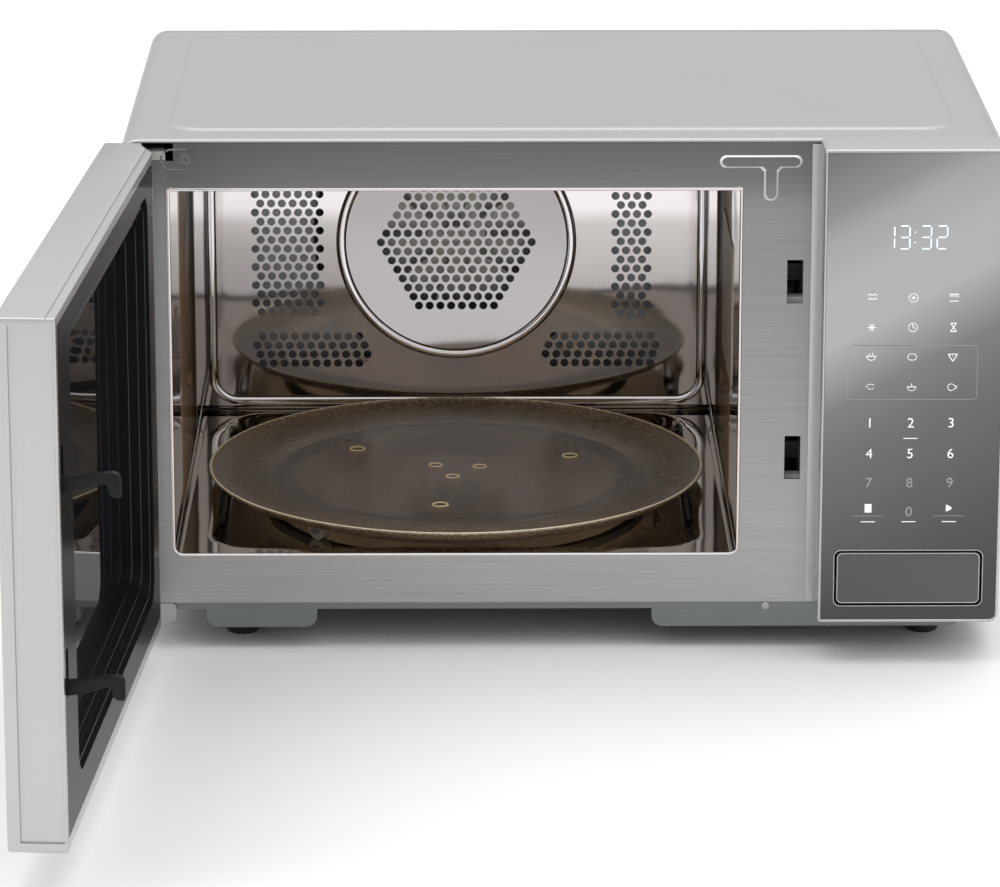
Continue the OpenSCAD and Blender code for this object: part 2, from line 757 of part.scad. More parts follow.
// Outer door shell: front border, four edges, hinge bosses and spring lug
module door_frame() {
    color("silver") on_door() difference() {
        union() {
            difference() {
                flat_plate(door_z0, body_h) door_plan(0);
                flat_plate(door_z0 + skin, body_h - skin) door_plan(skin);
            }
            block(door_l + skin, -258, -28, -12, 300, 321.5);
            block(door_l + skin, -258, -28, -12, door_z0 + skin, 46);
            block(key_x - 2, door_r - skin, -16, -8, 56, 59.4);
            front_plate(-4, door_y) difference() {
                area(-248, door_r - 1, door_z0 + 1, body_h - 1);
                area(-249 + skin, door_r - lip, door_z0 + lip_low, body_h - lip);
            }
        }
        front_plate(-face_y - clear, -30) patch(-266, 147, 38, 320, 4);
        block(door_l - clear, -244, -31.5, 0, 321.5, 327.5);
        translate([hinge_x, hinge_y, 0]) cylinder(h = body_h - 5, r = pin_r + pin_play);
        block(door_r - 1, door_r + clear, -27.5, -3, 33, 327);
        flat_plate(body_h - 0.7, body_h + clear) area(door_l - clear, door_r + clear, -7.1, -6.5);
    }
}

// Dark outer glass of the door, let in flush, with a ledge behind the border
module door_outer_glass() {
    color("black") on_door() {
        front_plate(-face_y + 0.4, -face_y + skin) patch(-265.8, 146.8, 38.2, 319.8, 3.8);
        front_plate(-face_y + skin, -30.6) patch(-271, 152, 33, 325, 4);
    }
}

// Screened metal plate with the folded choke channel round the window
module door_inner_plate() {
    color("dimgray") on_door() {
        front_plate(-21, -20) patch(-254, 137, 36, 322, 6);
        front_plate(-20, -4.5) difference() {
            patch(-243, 137, 36, 322, 6);
            patch(-242, 136, 37, 321, 5);
        }
        front_plate(-20, -6) difference() {
            patch(-228, 114, 52, 314, 19);
            patch(-227, 113, 53, 313, 18);
        }
    }
}

// Steps of the choke cover's inner wall: front face, back face and the window
choke_steps = [
    [-4, -1.5, [-222, 108, 55, 312]],
    [-6.5, -4, [-221.3, 107.3, 59, 306]],
    [-9, -6.5, [-220.6, 106.6, 62, 300]],
    [-12, -9, [-219.9, 105.9, 64, 296]],
    [-15, -12, [-219.2, 105.2, 66, 293]],
    [-18.5, -15, [-218.5, 104.5, 67, 290]]
];

// Rounded window of one step, grown by t
module choke_window(w, t) {
    patch(w[0] - t, w[1] + t, w[2] - t, w[3] + t, 15 + t);
}

// Plastic ring over the choke: flat border, stepped wall, slots for the hooks
module choke_cover() {
    color("dimgray") on_door() {
        front_plate(choke_steps[0][0], choke_steps[0][1]) difference() {
            patch(-245.8, door_r - lip - gap, door_z0 + lip_low + gap, body_h - lip - gap, 3);
            choke_window(choke_steps[0][2], 0);
            for (z = hook_z) area(key_x - 1.3, key_x + key_t + 1.3, z - 5.2, z + 16 + latch_lift);
            area(-250, -240, 321, 330);
        }
        for (i = [1 : 5])
            front_plate(choke_steps[i][0], choke_steps[i][1]) difference() {
                choke_window(choke_steps[i - 1][2], i == 1 ? 0.8 : 1.3);
                choke_window(choke_steps[i][2], 0);
            }
    }
}

// Inner window sheet, held against the plate by the choke cover
module door_inner_glass() {
    color("darkslategray") on_door() front_plate(-19.9, -18.5) patch(-222, 108, 62, 295, 15);
}

// Side view of a hook in Y and Z, about its root
module hook() {
    tip = door_y + hook_reach;
    polygon([
        [-9, -4.2], [4, -4.2], [tip - 11, 1], [tip - 7.8, 1], [tip - 7.4, -3.5],
        [tip - 5, -6.7], [tip - 0.5, -6.7], [tip, -5.5], [tip, 4.5], [tip - 3, 7.8],
        [tip - 11, 7.2], [5, 4.4], [-9, 4.2]]);
}

// Sliding key with the two hooks
module latch_key() {
    color("black") on_door() side_plate(key_x, key_x + key_t) {
        area(-16, -8, 100, 258);
        for (z = hook_z) translate([0, z]) hook();
    }
}

// Spring that pulls the key down
module latch_spring() {
    color("silver") on_door() translate([key_x + key_t / 2, -12, 60.1]) coil(3, 0.6, 4.9, 8);
}

// Upper hinge: plate out to the pin, and a leg behind the front plate
module hinge_upper() {
    color("lightgray") from_front() {
        difference() {
            union() {
                translate([hinge_x, hinge_y, arm_z]) cylinder(h = arm_t, r = 7.4);
                block(hinge_x - 7.4, -257, hinge_y, -1, arm_z, arm_z + arm_t);
                block(-269, -246, -11, 14, arm_z, arm_z + arm_t);
            }
            translate([hinge_x, hinge_y, arm_z - clear]) cylinder(h = 5, r = pin_r + 0.02);
            translate([-251, -4, arm_z - clear]) cylinder(h = 5, r = 2);
        }
        block(-270, -246, sheet, 3.4, 292, arm_z);
    }
}

// Lower hinge: plate under the door and a leg on the base
module hinge_lower() {
    color("lightgray") from_front() {
        difference() {
            union() {
                translate([hinge_x, hinge_y, low_arm_z]) cylinder(h = arm_t, r = 7.4);
                block(hinge_x - 7.4, -257, hinge_y, -0.2, low_arm_z, low_arm_z + arm_t);
            }
            translate([hinge_x, hinge_y, low_arm_z - clear]) cylinder(h = 5, r = pin_r + 0.02);
        }
        front_plate(-0.9, 1.4) patch(-264, -244, 18.5, 30.6, 3);
    }
}

// Pins of both hinges, headed outside the plates
module hinge_pins() {
    color("silver") from_front() translate([hinge_x, hinge_y, 0]) {
        translate([0, 0, 303]) cylinder(h = arm_z + arm_t - 303, r = pin_r);
        translate([0, 0, arm_z + arm_t]) cylinder(h = 1.2, r = 4.6);
        translate([0, 0, low_arm_z]) cylinder(h = 19, r = pin_r);
        translate([0, 0, low_arm_z - 1.5]) cylinder(h = 1.5, r = 4.6);
    }
}

// Moulded gland where the mains cord leaves the rear panel
module cord_gland() {
    color("black") from_front() difference() {
        union() {
            rod_y(235, 60, 8, body_d - 4, body_d);
            rod_y(235, 60, 11, body_d, body_d + 4);
            rod_y(235, 60, 8, body_d, body_d + 12);
        }
        rod_y(235, 60, 3.6, body_d - 5, body_d + 13);
    }
}

// Panel screws at the rear and the earth screw at the front
module screws() {
    color("gray") from_front() {
        for (p = screw_places) {
            rod_y(p[0], p[1], 3.8, body_d, body_d + 2.2);
            rod_y(p[0], p[1], 1.7, body_d - 8, body_d + 1);
        }
        rod_y(129, 28.2, 2.4, -0.4, 1.5);
        rod_y(129, 28.2, 1.2, 0, 8);
    }
}

outer_wrapper();
rear_panel();
convection_cover();
base_plate();
foot(0, 0);  // foot_front_left
foot(1, 0);  // foot_front_right
foot(0, 1);  // foot_rear_left
foot(1, 1);  // foot_rear_right
front_frame();
cavity_walls();
cavity_floor();
cavity_rear_wall();
waveguide_cover();
waveguide();
magnetron();
convection_casing();
convection_heater();
convection_fan();
convection_motor();
cavity_lamp();
lamp_holder();
transformer_core();
transformer_windings();
capacitor();
diode();
cooling_fan_blade();
cooling_fan_motor();
fan_shroud();
air_duct();
noise_filter();
thermal_cutouts();
turntable_motor();
drive_coupler();
roller_ring();
roller(0);  // roller_1
roller(1);  // roller_2
roller(2);  // roller_3
glass_tray();
panel_bezel();
panel_glass();
display_module();
control_board();
open_button();
button_spring();
release_lever();
latch_bracket();
microswitches();
door_frame();
door_outer_glass();
door_inner_plate();
choke_cover();
door_inner_glass();
latch_key();
latch_spring();
hinge_upper();
hinge_lower();
hinge_pins();
cord_gland();
screws();
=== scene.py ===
"""Countertop convection microwave oven with its door standing open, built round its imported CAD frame.
Metres, Z up, front towards -Y."""

import bmesh
import bpy
import numpy as np
from mathutils import Euler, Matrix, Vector


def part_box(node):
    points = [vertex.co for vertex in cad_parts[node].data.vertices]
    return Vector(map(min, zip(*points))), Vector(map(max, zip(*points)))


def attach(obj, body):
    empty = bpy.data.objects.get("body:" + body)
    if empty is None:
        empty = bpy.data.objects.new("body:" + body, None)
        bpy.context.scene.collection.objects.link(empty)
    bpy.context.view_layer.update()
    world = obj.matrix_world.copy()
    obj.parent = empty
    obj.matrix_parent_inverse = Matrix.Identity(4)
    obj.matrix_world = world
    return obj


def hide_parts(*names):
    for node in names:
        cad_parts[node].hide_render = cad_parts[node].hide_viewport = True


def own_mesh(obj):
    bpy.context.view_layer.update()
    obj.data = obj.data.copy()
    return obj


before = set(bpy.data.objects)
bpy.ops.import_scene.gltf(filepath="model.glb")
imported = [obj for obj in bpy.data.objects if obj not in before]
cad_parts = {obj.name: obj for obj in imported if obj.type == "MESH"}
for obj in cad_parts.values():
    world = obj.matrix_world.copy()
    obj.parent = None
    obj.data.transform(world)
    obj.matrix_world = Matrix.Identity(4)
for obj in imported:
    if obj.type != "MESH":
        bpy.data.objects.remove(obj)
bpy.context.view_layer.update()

# ---- Camera and room ----
# A long lens stands a little above the roof and looks slightly down into the open cavity.
# The room is a white sweep of floor under a large soft ceiling light, darker behind the camera.
lens = bpy.data.cameras.new("long_lens")
lens.lens = 182.98
lens.sensor_width = 36.0
lens.clip_end = 60.0
camera = bpy.data.objects.new("camera", lens)
camera.location = (-0.0444, -3.07, 1.0062)
camera.rotation_euler = Euler(np.radians((74.16, 0.0, -0.44)))
bpy.context.scene.collection.objects.link(camera)
bpy.context.scene.camera = camera
bpy.context.scene.view_settings.view_transform = "Standard"

room = bpy.data.worlds.new("studio")
room.use_nodes = True
bpy.context.scene.world = room
nodes = room.node_tree.nodes
sky = nodes["Background"]
facing = nodes.new("ShaderNodeTexCoord")
height = nodes.new("ShaderNodeSeparateXYZ")
ramp = nodes.new("ShaderNodeValToRGB")
ramp.color_ramp.elements[0].position = 0.42
ramp.color_ramp.elements[0].color = (0.42, 0.42, 0.43, 1)
ramp.color_ramp.elements[1].position = 0.8
ramp.color_ramp.elements[1].color = (1.0, 1.0, 1.0, 1)
shift = nodes.new("ShaderNodeMapRange")
shift.inputs["From Min"].default_value = -1.0
sky.inputs["Strength"].default_value = 1.0


def wire(tree, *links):
    """Links shader nodes; each link is a node, its output, the next node and its input."""
    for source, output, target, entry in links:
        tree.links.new(source.outputs[output], target.inputs[entry])


wire(room.node_tree, (facing, "Generated", height, 0), (height, "Z", shift, "Value"),
    (shift, "Result", ramp, "Fac"), (ramp, "Color", sky, "Color"))


def lamp(name, place, aim, width, depth, watts, tint=(1.0, 1.0, 1.0)):
    """A rectangular area light at place, turned so that it shines at aim."""
    light = bpy.data.lights.new(name, "AREA")
    light.shape = "RECTANGLE"
    light.size, light.size_y = width, depth
    light.energy = watts
    light.color = tint
    holder = bpy.data.objects.new(name, light)
    holder.location = place
    holder.rotation_euler = (Vector(aim) - Vector(place)).to_track_quat("-Z", "Y").to_euler()
    bpy.context.scene.collection.objects.link(holder)


lamp("ceiling_softbox", (0.0, 0.6, 3.2), (0.0, 0.3, 0.1), 5.0, 4.0, 75)
lamp("left_softbox", (-2.4, -1.0, 1.1), (-0.1, 0.0, 0.2), 1.2, 1.6, 10)
lamp("right_softbox", (2.4, -1.2, 1.2), (0.1, 0.0, 0.2), 1.2, 1.6, 6)

floor_mesh = bpy.data.meshes.new("floor")
floor_mesh.from_pydata([(-14, -14, 0), (14, -14, 0), (14, 14, 0), (-14, 14, 0)], [], [(0, 1, 2, 3)])
floor = bpy.data.objects.new("floor", floor_mesh)
bpy.context.scene.collection.objects.link(floor)
paper = bpy.data.materials.new("white_floor")
paper.use_nodes = True


def preset(node, **values):
    """Sets constant inputs of a shader node; an underscore stands for the space in an input's name."""
    for label, value in values.items():
        node.inputs[label.replace("_", " ")].default_value = value


preset(paper.node_tree.nodes["Principled BSDF"], Base_Color=(0.9, 0.9, 0.9, 1), Roughness=0.9,
    Specular_IOR_Level=0.1)
floor_mesh.materials.append(paper)

# ---- Outer wrapper ----
# Roof and both sides bent from one sheet of silver-painted steel, with a shallow soft-edged
# emboss in each face and two rows of air slots low in each side. It is screwed on at the rear.


def worked_surface():
    """Shader node group. A fine noise, stretched by Grain per metre, lightens and darkens Colour by
    Contrast, varies Roughness and stands Relief metres high. A broad noise clouds colour and roughness by
    Clouds and bends the surface by Waves metres."""
    tree = bpy.data.node_groups.new("worked_surface", "ShaderNodeTree")
    for label, kind, value in (
        ("Colour", "NodeSocketColor", (0.5, 0.5, 0.5, 1)),
        ("Roughness", "NodeSocketFloat", 0.4),
        ("Grain", "NodeSocketVector", (900, 900, 900)),
        ("Contrast", "NodeSocketFloat", 0.1),
        ("Relief", "NodeSocketFloat", 0.00001),
        ("Clouds", "NodeSocketFloat", 0.04),
        ("Waves", "NodeSocketFloat", 0.0),
    ):
        tree.interface.new_socket(label, in_out="INPUT", socket_type=kind).default_value = value
    tree.interface.new_socket("Colour", in_out="OUTPUT", socket_type="NodeSocketColor")
    tree.interface.new_socket("Roughness", in_out="OUTPUT", socket_type="NodeSocketFloat")
    tree.interface.new_socket("Normal", in_out="OUTPUT", socket_type="NodeSocketVector")
    add = tree.nodes.new
    given, made = add("NodeGroupInput"), add("NodeGroupOutput")

    def calc(operation, *values, kind="ShaderNodeMath"):
        """A maths node fed by constants and by outputs of other nodes."""
        node = add(kind)
        node.operation = operation
        for entry, value in zip(node.inputs, values):
            if isinstance(value, bpy.types.NodeSocket):
                tree.links.new(value, entry)
            else:
                entry.default_value = value
        return node

    def about_one(noise, amount):
        """1 plus twice amount times the noise's distance from its middle."""
        centred = calc("SUBTRACT", noise.outputs["Fac"], 0.5)
        share = calc("MULTIPLY", centred.outputs[0], given.outputs[amount])
        return calc("MULTIPLY_ADD", share.outputs[0], 2.0, 1.0).outputs[0]

    spot, fine, broad = add("ShaderNodeTexCoord"), add("ShaderNodeTexNoise"), add("ShaderNodeTexNoise")
    stretch = calc("MULTIPLY", spot.outputs["Object"], given.outputs["Grain"], kind="ShaderNodeVectorMath")
    preset(fine, Scale=1.0, Detail=3.0)
    preset(broad, Scale=9.0, Detail=1.0)
    both = calc("MULTIPLY", about_one(fine, "Contrast"), about_one(broad, "Clouds"))
    toned, bent, grained = add("ShaderNodeVectorMath"), add("ShaderNodeBump"), add("ShaderNodeBump")
    toned.operation = "SCALE"
    rough = calc("MULTIPLY", given.outputs["Roughness"], both.outputs[0])
    rough.use_clamp = True
    wire(tree, (stretch, 0, fine, "Vector"), (spot, "Object", broad, "Vector"), (given, "Colour", toned, 0),
        (both, 0, toned, "Scale"), (toned, 0, made, "Colour"), (rough, 0, made, "Roughness"),
        (broad, "Fac", bent, "Height"), (given, "Waves", bent, "Distance"), (fine, "Fac", grained, "Height"),
        (given, "Relief", grained, "Distance"), (bent, 0, grained, "Normal"), (grained, 0, made, "Normal"))
    return tree


surface_group = worked_surface()


def finish(name, colour, roughness, metallic, grain, contrast, relief, clouds, waves=0.0, **sockets):
    """A material whose Principled shader takes its colour, roughness and normal from the worked surface
    group. One number for the colour is a grey, and one for the grain is the same along every axis. Further
    sockets are plain constants."""
    made = bpy.data.materials.new(name)
    made.use_nodes = True
    tree = made.node_tree
    shader = tree.nodes["Principled BSDF"]
    group = tree.nodes.new("ShaderNodeGroup")
    group.node_tree = surface_group
    preset(group, Colour=(*np.broadcast_to(colour, 3), 1), Grain=np.broadcast_to(grain, 3),
        Roughness=roughness, Contrast=contrast, Relief=relief, Clouds=clouds, Waves=waves)
    wire(tree, (group, "Colour", shader, "Base Color"), (group, "Roughness", shader, "Roughness"),
        (group, "Normal", shader, "Normal"))
    preset(shader, Metallic=metallic, **sockets)
    return made


def coat(material, *names):
    """Gives the material to CAD nodes."""
    for name in names:
        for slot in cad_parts[name].material_slots:
            slot.material = material


def piece(name, points, faces, material, slot, body, stands_for=(), crease=35.0, towards=None):
    """A new piece from an array of points and a list of arrays of corner numbers. Its doubled points are
    merged and its faces turned outwards, or for an open sheet mostly towards a direction. It is smooth
    except at edges sharper than crease degrees, and rides on a body in place of the CAD nodes it stands
    for."""
    mesh = bpy.data.meshes.new(name)
    corners = [face for block in faces for face in np.asarray(block).tolist()]
    mesh.from_pydata(np.asarray(points).reshape(-1, 3).tolist(), [], corners)
    work = bmesh.new()
    work.from_mesh(mesh)
    bmesh.ops.remove_doubles(work, verts=work.verts, dist=2e-6)
    bmesh.ops.dissolve_degenerate(work, edges=work.edges, dist=1e-6)
    bmesh.ops.recalc_face_normals(work, faces=work.faces)
    if towards is not None:
        facing_it = sum(face.normal.dot(Vector(towards)) * face.calc_area() for face in work.faces)
        if facing_it < 0:
            bmesh.ops.reverse_faces(work, faces=work.faces)
    work.to_mesh(mesh)
    work.free()
    mesh.shade_smooth()
    mesh.set_sharp_from_angle(angle=np.radians(crease))
    mesh.materials.append(material)
    made = bpy.data.objects.new(name, mesh)
    bpy.context.scene.collection.objects.link(made)
    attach(made, body)
    if stands_for:
        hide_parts(*stands_for)
    return made


def grid_faces(rows, columns, closed=False, ring=False):
    """Corner numbers of the quads between the points of a grid. A closed grid's last column joins its
    first, and a ring's last row its first row."""
    row = np.arange(rows if ring else rows - 1)[:, None]
    column = np.arange(columns if closed else columns - 1)[None, :]
    beside, above = (column + 1) % columns, (row + 1) % rows
    quads = [row * columns + column, row * columns + beside, above * columns + beside,
        above * columns + column]
    return np.stack(quads, -1).reshape(-1, 4)


def round_faces(shape):
    """Faces of a surface that closes both ways, such as a bead: its points are a grid, round and round."""
    return grid_faces(*shape.shape[:2], closed=True, ring=True)


def joined(parts):
    """Points and face blocks of several shapes as those of one, with the corner numbers moved on."""
    points = [shape.reshape(-1, 3) for shape, blocks in parts]
    starts = np.cumsum([0] + [len(block) for block in points])
    moved = [block + start for (_, blocks), start in zip(parts, starts) for block in blocks]
    return np.concatenate(points), moved


def steps(*stops):
    """Values from the first stop to the last, where each further stop is (end, largest step)."""
    values = [np.array([stops[0]])]
    for end, largest in stops[1:]:
        start = values[-1][-1]
        count = max(1, int(np.ceil(abs(end - start) / largest - 1e-6)))
        values.append(np.linspace(start, end, count + 1)[1:])
    return np.concatenate(values)


def inside_rounded(x, y, x0, x1, y0, y1, radius):
    """Distance of each point inside a rectangle with rounded corners; negative outside. It is the radius
    less the distance from the inner, square-cornered core."""
    over_x = np.abs(x - (x0 + x1) / 2) - (x1 - x0) / 2 + radius
    over_y = np.abs(y - (y0 + y1) / 2) - (y1 - y0) / 2 + radius
    beyond = np.hypot(np.maximum(over_x, 0), np.maximum(over_y, 0))
    return radius - beyond - np.minimum(np.maximum(over_x, over_y), 0)


def soft_step(x):
    """0 below 0, 1 above 1, and the cubic 3x2 - 2x3 between."""
    x = np.clip(x, 0, 1)
    return x * x * (3 - 2 * x)


wrap_low, wrap_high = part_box("outer_wrapper")
mid_x = (wrap_low.x + wrap_high.x) / 2
front_y = wrap_low.y
roof_top = wrap_high.z
emboss = 0.0014
side_x = wrap_high.x - mid_x - emboss
roof_z = roof_top - emboss
bend = 0.012
skirt_z = wrap_low.z
wrap_depth = wrap_high.y - front_y
field = (0.028, wrap_depth - 0.028)

depths = steps(0.0, (0.024, 0.008), (0.060, 0.0014), (0.211, 0.012), (0.319, 0.0015), (0.326, 0.0014),
    (wrap_depth, 0.008))
rises = steps(skirt_z, (0.045, 0.006), (0.081, 0.00225), (0.086, 0.0025), (0.114, 0.0014), (0.280, 0.012),
    (0.308, 0.0014), (roof_z - bend, 0.004))
turn = np.radians(np.linspace(0, 90, 10))[1:-1]
across = steps(-side_x + bend, (-side_x + 0.026, 0.007), (-side_x + 0.054, 0.0014), (side_x - 0.054, 0.018),
    (side_x - 0.026, 0.0014), (side_x - bend, 0.007))
hem = np.array([side_x - 0.011, side_x - 0.0008])
half = np.concatenate([
    np.stack([-hem, np.full(2, skirt_z), np.zeros(2), -np.ones(2)], -1),
    np.stack([np.full(rises.size, -side_x), rises, -np.ones(rises.size), np.zeros(rises.size)], -1),
    np.stack([-side_x + bend - bend * np.cos(turn), roof_z - bend + bend * np.sin(turn), -np.cos(turn),
    np.sin(turn)], -1),
])
half[2:3, 1] += 0.0008
roof = np.stack([across, np.full(across.size, roof_z), np.zeros(across.size), np.ones(across.size)], -1)
profile = np.concatenate([half, roof, half[::-1] * (-1, 1, -1, 1)])
px, pz, nx, nz = (profile[:, i][:, None] for i in range(4))
deep = np.broadcast_to(depths[None, :], (profile.shape[0], depths.size))
on_roof = inside_rounded(px + 0 * deep, deep, -side_x + 0.028, side_x - 0.028, *field, 0.024)
on_side = inside_rounded(pz + 0 * deep, deep, 0.088, 0.306, *field, 0.024)
raised = np.where(nz > 0.99, on_roof, np.where(np.abs(nx) > 0.99, on_side, -1.0))
lift = emboss * soft_step((raised + 0.0006) / 0.0046)
wrap_points = np.stack([mid_x + px + nx * lift, front_y + deep, pz + nz * lift], -1)
wrap_faces = grid_faces(*deep.shape)[:, ::-1]
centre = wrap_points.reshape(-1, 3)[wrap_faces].mean(1)
off_x, off_y, off_z = np.abs(centre - (mid_x, front_y + 0.265, 0.063)).T
slotted = (off_x > side_x - 0.0001) & (off_y < 0.054) & (off_z < 0.018)
wrap_faces = wrap_faces[~slotted]

# One slot's cell, 9 mm by 18 mm: its edge is drawn in to the slot's outline, point for point.
edge = np.concatenate([
    np.stack([np.linspace(-1, 1, 7)[:-1], -np.ones(6)], -1),
    np.stack([np.ones(8), np.linspace(-1, 1, 9)[:-1]], -1),
    np.stack([np.linspace(1, -1, 7)[:-1], np.ones(6)], -1),
    np.stack([-np.ones(8), np.linspace(1, -1, 9)[:-1]], -1),
])
core = np.clip(edge * (0.0015, 0.006), (-0.0001, -0.0046), (0.0001, 0.0046))
away = edge * (0.0015, 0.006) - core
slot_edge = core + 0.0014 * away / np.hypot(*away.T)[:, None]
cell = np.stack([edge * (0.0045, 0.009), slot_edge])
slot_rows = np.meshgrid(0.2155 + 0.009 * np.arange(12), [0.054, 0.072], indexing="ij")
places = np.stack(slot_rows, -1).reshape(-1, 2)
flat = places[:, None, None, :] + cell[None]
slot_faces = (grid_faces(2, 28, closed=True)[None] + 56
    * np.arange(places.shape[0])[:, None, None]).reshape(-1, 4)
slot_points, slots_all = [], []
for turned, x in ((slot_faces[:, ::-1], -side_x), (slot_faces, side_x)):
    slots_all.append(turned + wrap_points.size // 3 + sum(len(p) for p in slot_points))
    slot_points.append(np.stack([np.full(flat[..., 0].size, mid_x + x), front_y + flat[..., 0].ravel(),
        flat[..., 1].ravel()], -1))
silver_paint = finish("silver_paint", 0.42, 0.34, 0.6, 1800, 0.03, 0.000003, 0.03)
wrapper = piece("roof_and_sides", np.concatenate([wrap_points.reshape(-1, 3), *slot_points]),
    [wrap_faces, *slots_all], silver_paint, "painted_silver", "cabinet", ("outer_wrapper",), 40)
thick = wrapper.modifiers.new("sheet", "SOLIDIFY")
thick.thickness = 0.0012
thick.offset = -1.0

# ---- Base pan and feet ----
# Folded pan of dark coated sheet with two deep bulges that hold it up off the table.
# Four moulded rubber feet push into it.
coat(finish("dark_sheet", (0.20, 0.215, 0.215), 0.36, 0.8, (60, 900, 900), 0.10, 0.00001, 0.10, 0.0004),
    "base_plate")
rubber = finish("foot_rubber", (0.018, 0.018, 0.02), 0.62, 0.0, 1500, 0.15, 0.00004, 0.06)
coat(rubber, "foot_front_left", "foot_front_right", "foot_rear_left", "foot_rear_right")

# ---- Rear panel and rear cover ----
# Zinc-plated sheet, punched with louvre slots, left unpainted and screwed on.
# The ducts and holders inside the cabinet are bent from the same sheet.
zinc = finish("zinc_sheet", (0.56, 0.57, 0.58), 0.38, 0.9, 320, 0.10, 0.00001, 0.08)
coat(zinc, "rear_panel", "convection_cover", "convection_casing", "waveguide", "lamp_holder", "air_duct")

# ---- Front plate ----
# Stainless sheet brushed from side to side, with a pressed T at the upper right, a folded bright lip
# round the cavity mouth and two slots for the door hooks.
brushed = finish("brushed_front", (0.275, 0.275, 0.28), 0.33, 1.0, (9, 900, 900), 0.20, 0.000012, 0.06,
    0.0003)
coat(brushed, "front_frame")


def tinted(material, socket, direction, stops):
    """Drives a socket of a material by the distance along a direction in the frame: each stop is a distance
    in metres with the value, grey or colour it gives there."""
    tree = material.node_tree
    place_in = tree.nodes.new("ShaderNodeTexCoord")
    along = tree.nodes.new("ShaderNodeVectorMath")
    along.operation = "DOT_PRODUCT"
    along.inputs[1].default_value = direction
    span = tree.nodes.new("ShaderNodeMapRange")
    first, last = stops[0][0], stops[-1][0]
    preset(span, From_Min=first, From_Max=last)
    tone = tree.nodes.new("ShaderNodeValToRGB")
    ramp = tone.color_ramp
    while len(ramp.elements) < len(stops):
        ramp.elements.new(0.5)
    for element, (distance, colour) in zip(ramp.elements, stops):
        element.position = (distance - first) / (last - first)
        element.color = (*np.broadcast_to(colour, 3), 1)
    wire(tree, (place_in, "Object", along, 0), (along, "Value", span, "Value"), (span, "Result", tone, "Fac"))
    tree.links.new(tone.outputs["Color"], socket)


def group_colour(material):
    """The colour input of a material's worked surface group."""
    return next(node for node in material.node_tree.nodes if node.type == "GROUP").inputs["Colour"]


# The plate's colour is painted shade: lightest near the bottom and darkening towards the top, under the
# roof's overhang.
tinted(brushed, group_colour(brushed), (0, 0, 1),
    ((0.03, 0.40), (0.15, 0.31), (0.285, 0.255), (0.305, 0.17), (0.33, 0.13)))


def bead(path, out, width, rise, x, y, z, turns=9):
    """Half-round bead round a closed path, flat underneath: each point of its section moves along the
    path's outward direction by width times cosine and along the rise z by rise times sine. The path's plane
    has axes x and y."""
    angle = np.linspace(0, np.pi, turns)
    flat = path[None] + out[None] * (width * np.cos(angle))[:, None, None]
    return flat[..., :1] * x + flat[..., 1:] * y + (rise * np.sin(angle))[:, None, None] * z


def rounded_loop(x0, x1, y0, y1, radii, count=8):
    """Closed outline of a rectangle, anticlockwise from its lower right corner, with a radius for each
    corner: lower right, upper right, upper left, lower left. Returns points and outward directions; a
    corner of no radius keeps one point, turned outwards on its mitre."""
    points, outs = [], []
    for radius, high_x, high_y, start in zip(radii, (1, 1, 0, 0), (0, 1, 1, 0), (-90, 0, 90, 180)):
        angle = np.radians(start + (np.linspace(0, 90, count) if radius > 0 else np.array([45.0])))
        out = np.stack([np.cos(angle), np.sin(angle)], -1)
        corner = np.array([x1 if high_x else x0, y1 if high_y else y0])
        points.append(corner - np.array([high_x, high_y]) * 2 * radius + radius + out * radius)
        outs.append(out if radius > 0 else out * np.sqrt(2))
    return np.concatenate(points), np.concatenate(outs)


right, up, ahead = np.eye(3)[0], np.eye(3)[2], -np.eye(3)[1]
place = np.array([mid_x, front_y, 0.0])
cavity_left, cavity_right, cavity_roof, cavity_rim, cavity_deep = -0.244, 0.110, 0.300, 0.0615, 0.344
bright_edge = finish("bright_edge", (0.78, 0.73, 0.71), 0.18, 1.0, 60, 0.04, 0.0, 0.05)
loop, out = rounded_loop(cavity_left, cavity_right, cavity_rim + 0.0017, cavity_roof - 0.002,
    (0.005, 0, 0, 0.005))
lip = bead(loop + 0.0008 * out, out, 0.0011, 0.0012, right, up, ahead) + place
piece("mouth_lip", lip, [round_faces(lip)], bright_edge, "brushed_front",
    "cabinet")

# The pressed T: its height is a soft step of the distance inside its two round-ended bars.
tx, tz = np.meshgrid(np.linspace(0.0955, 0.1495, 91), np.linspace(0.2895, 0.3215, 65), indexing="ij")
bar = inside_rounded(tx, tz, 0.0968, 0.1482, 0.3118, 0.3202, 0.0041)
stem = inside_rounded(tx, tz, 0.1242, 0.1335, 0.2909, 0.3175, 0.0046)
inward = np.maximum(bar, stem) + 0.0012 * np.exp(-((bar - stem) / 0.0015) ** 2)
t_rise = 0.00125 * soft_step(inward / 0.0014) - 0.0001
tee = np.stack([mid_x + tx, front_y - t_rise, tz], -1)
kept = grid_faces(*tx.shape)
kept = kept[t_rise.ravel()[kept].max(1) > -0.00009]
sloping = np.ptp(t_rise.ravel()[kept], axis=1) > 0.00008
# The T's sloping faces are a pale, nearly unmetallic grey: a painted highlight along its edges.
tee_highlight = finish("tee_painted_highlight", 0.82, 0.35, 0.25, (9, 900, 900), 0.08, 0.000012, 0.05)
for name, chosen, steel in (("tee_flat", kept[~sloping], brushed), ("tee_edges", kept[sloping], tee_highlight)):
    used, numbers = np.unique(chosen, return_inverse=True)
    piece(name, tee.reshape(-1, 3)[used], [numbers.reshape(chosen.shape)], steel, "brushed_front",
        "cabinet", crease=60, towards=ahead)

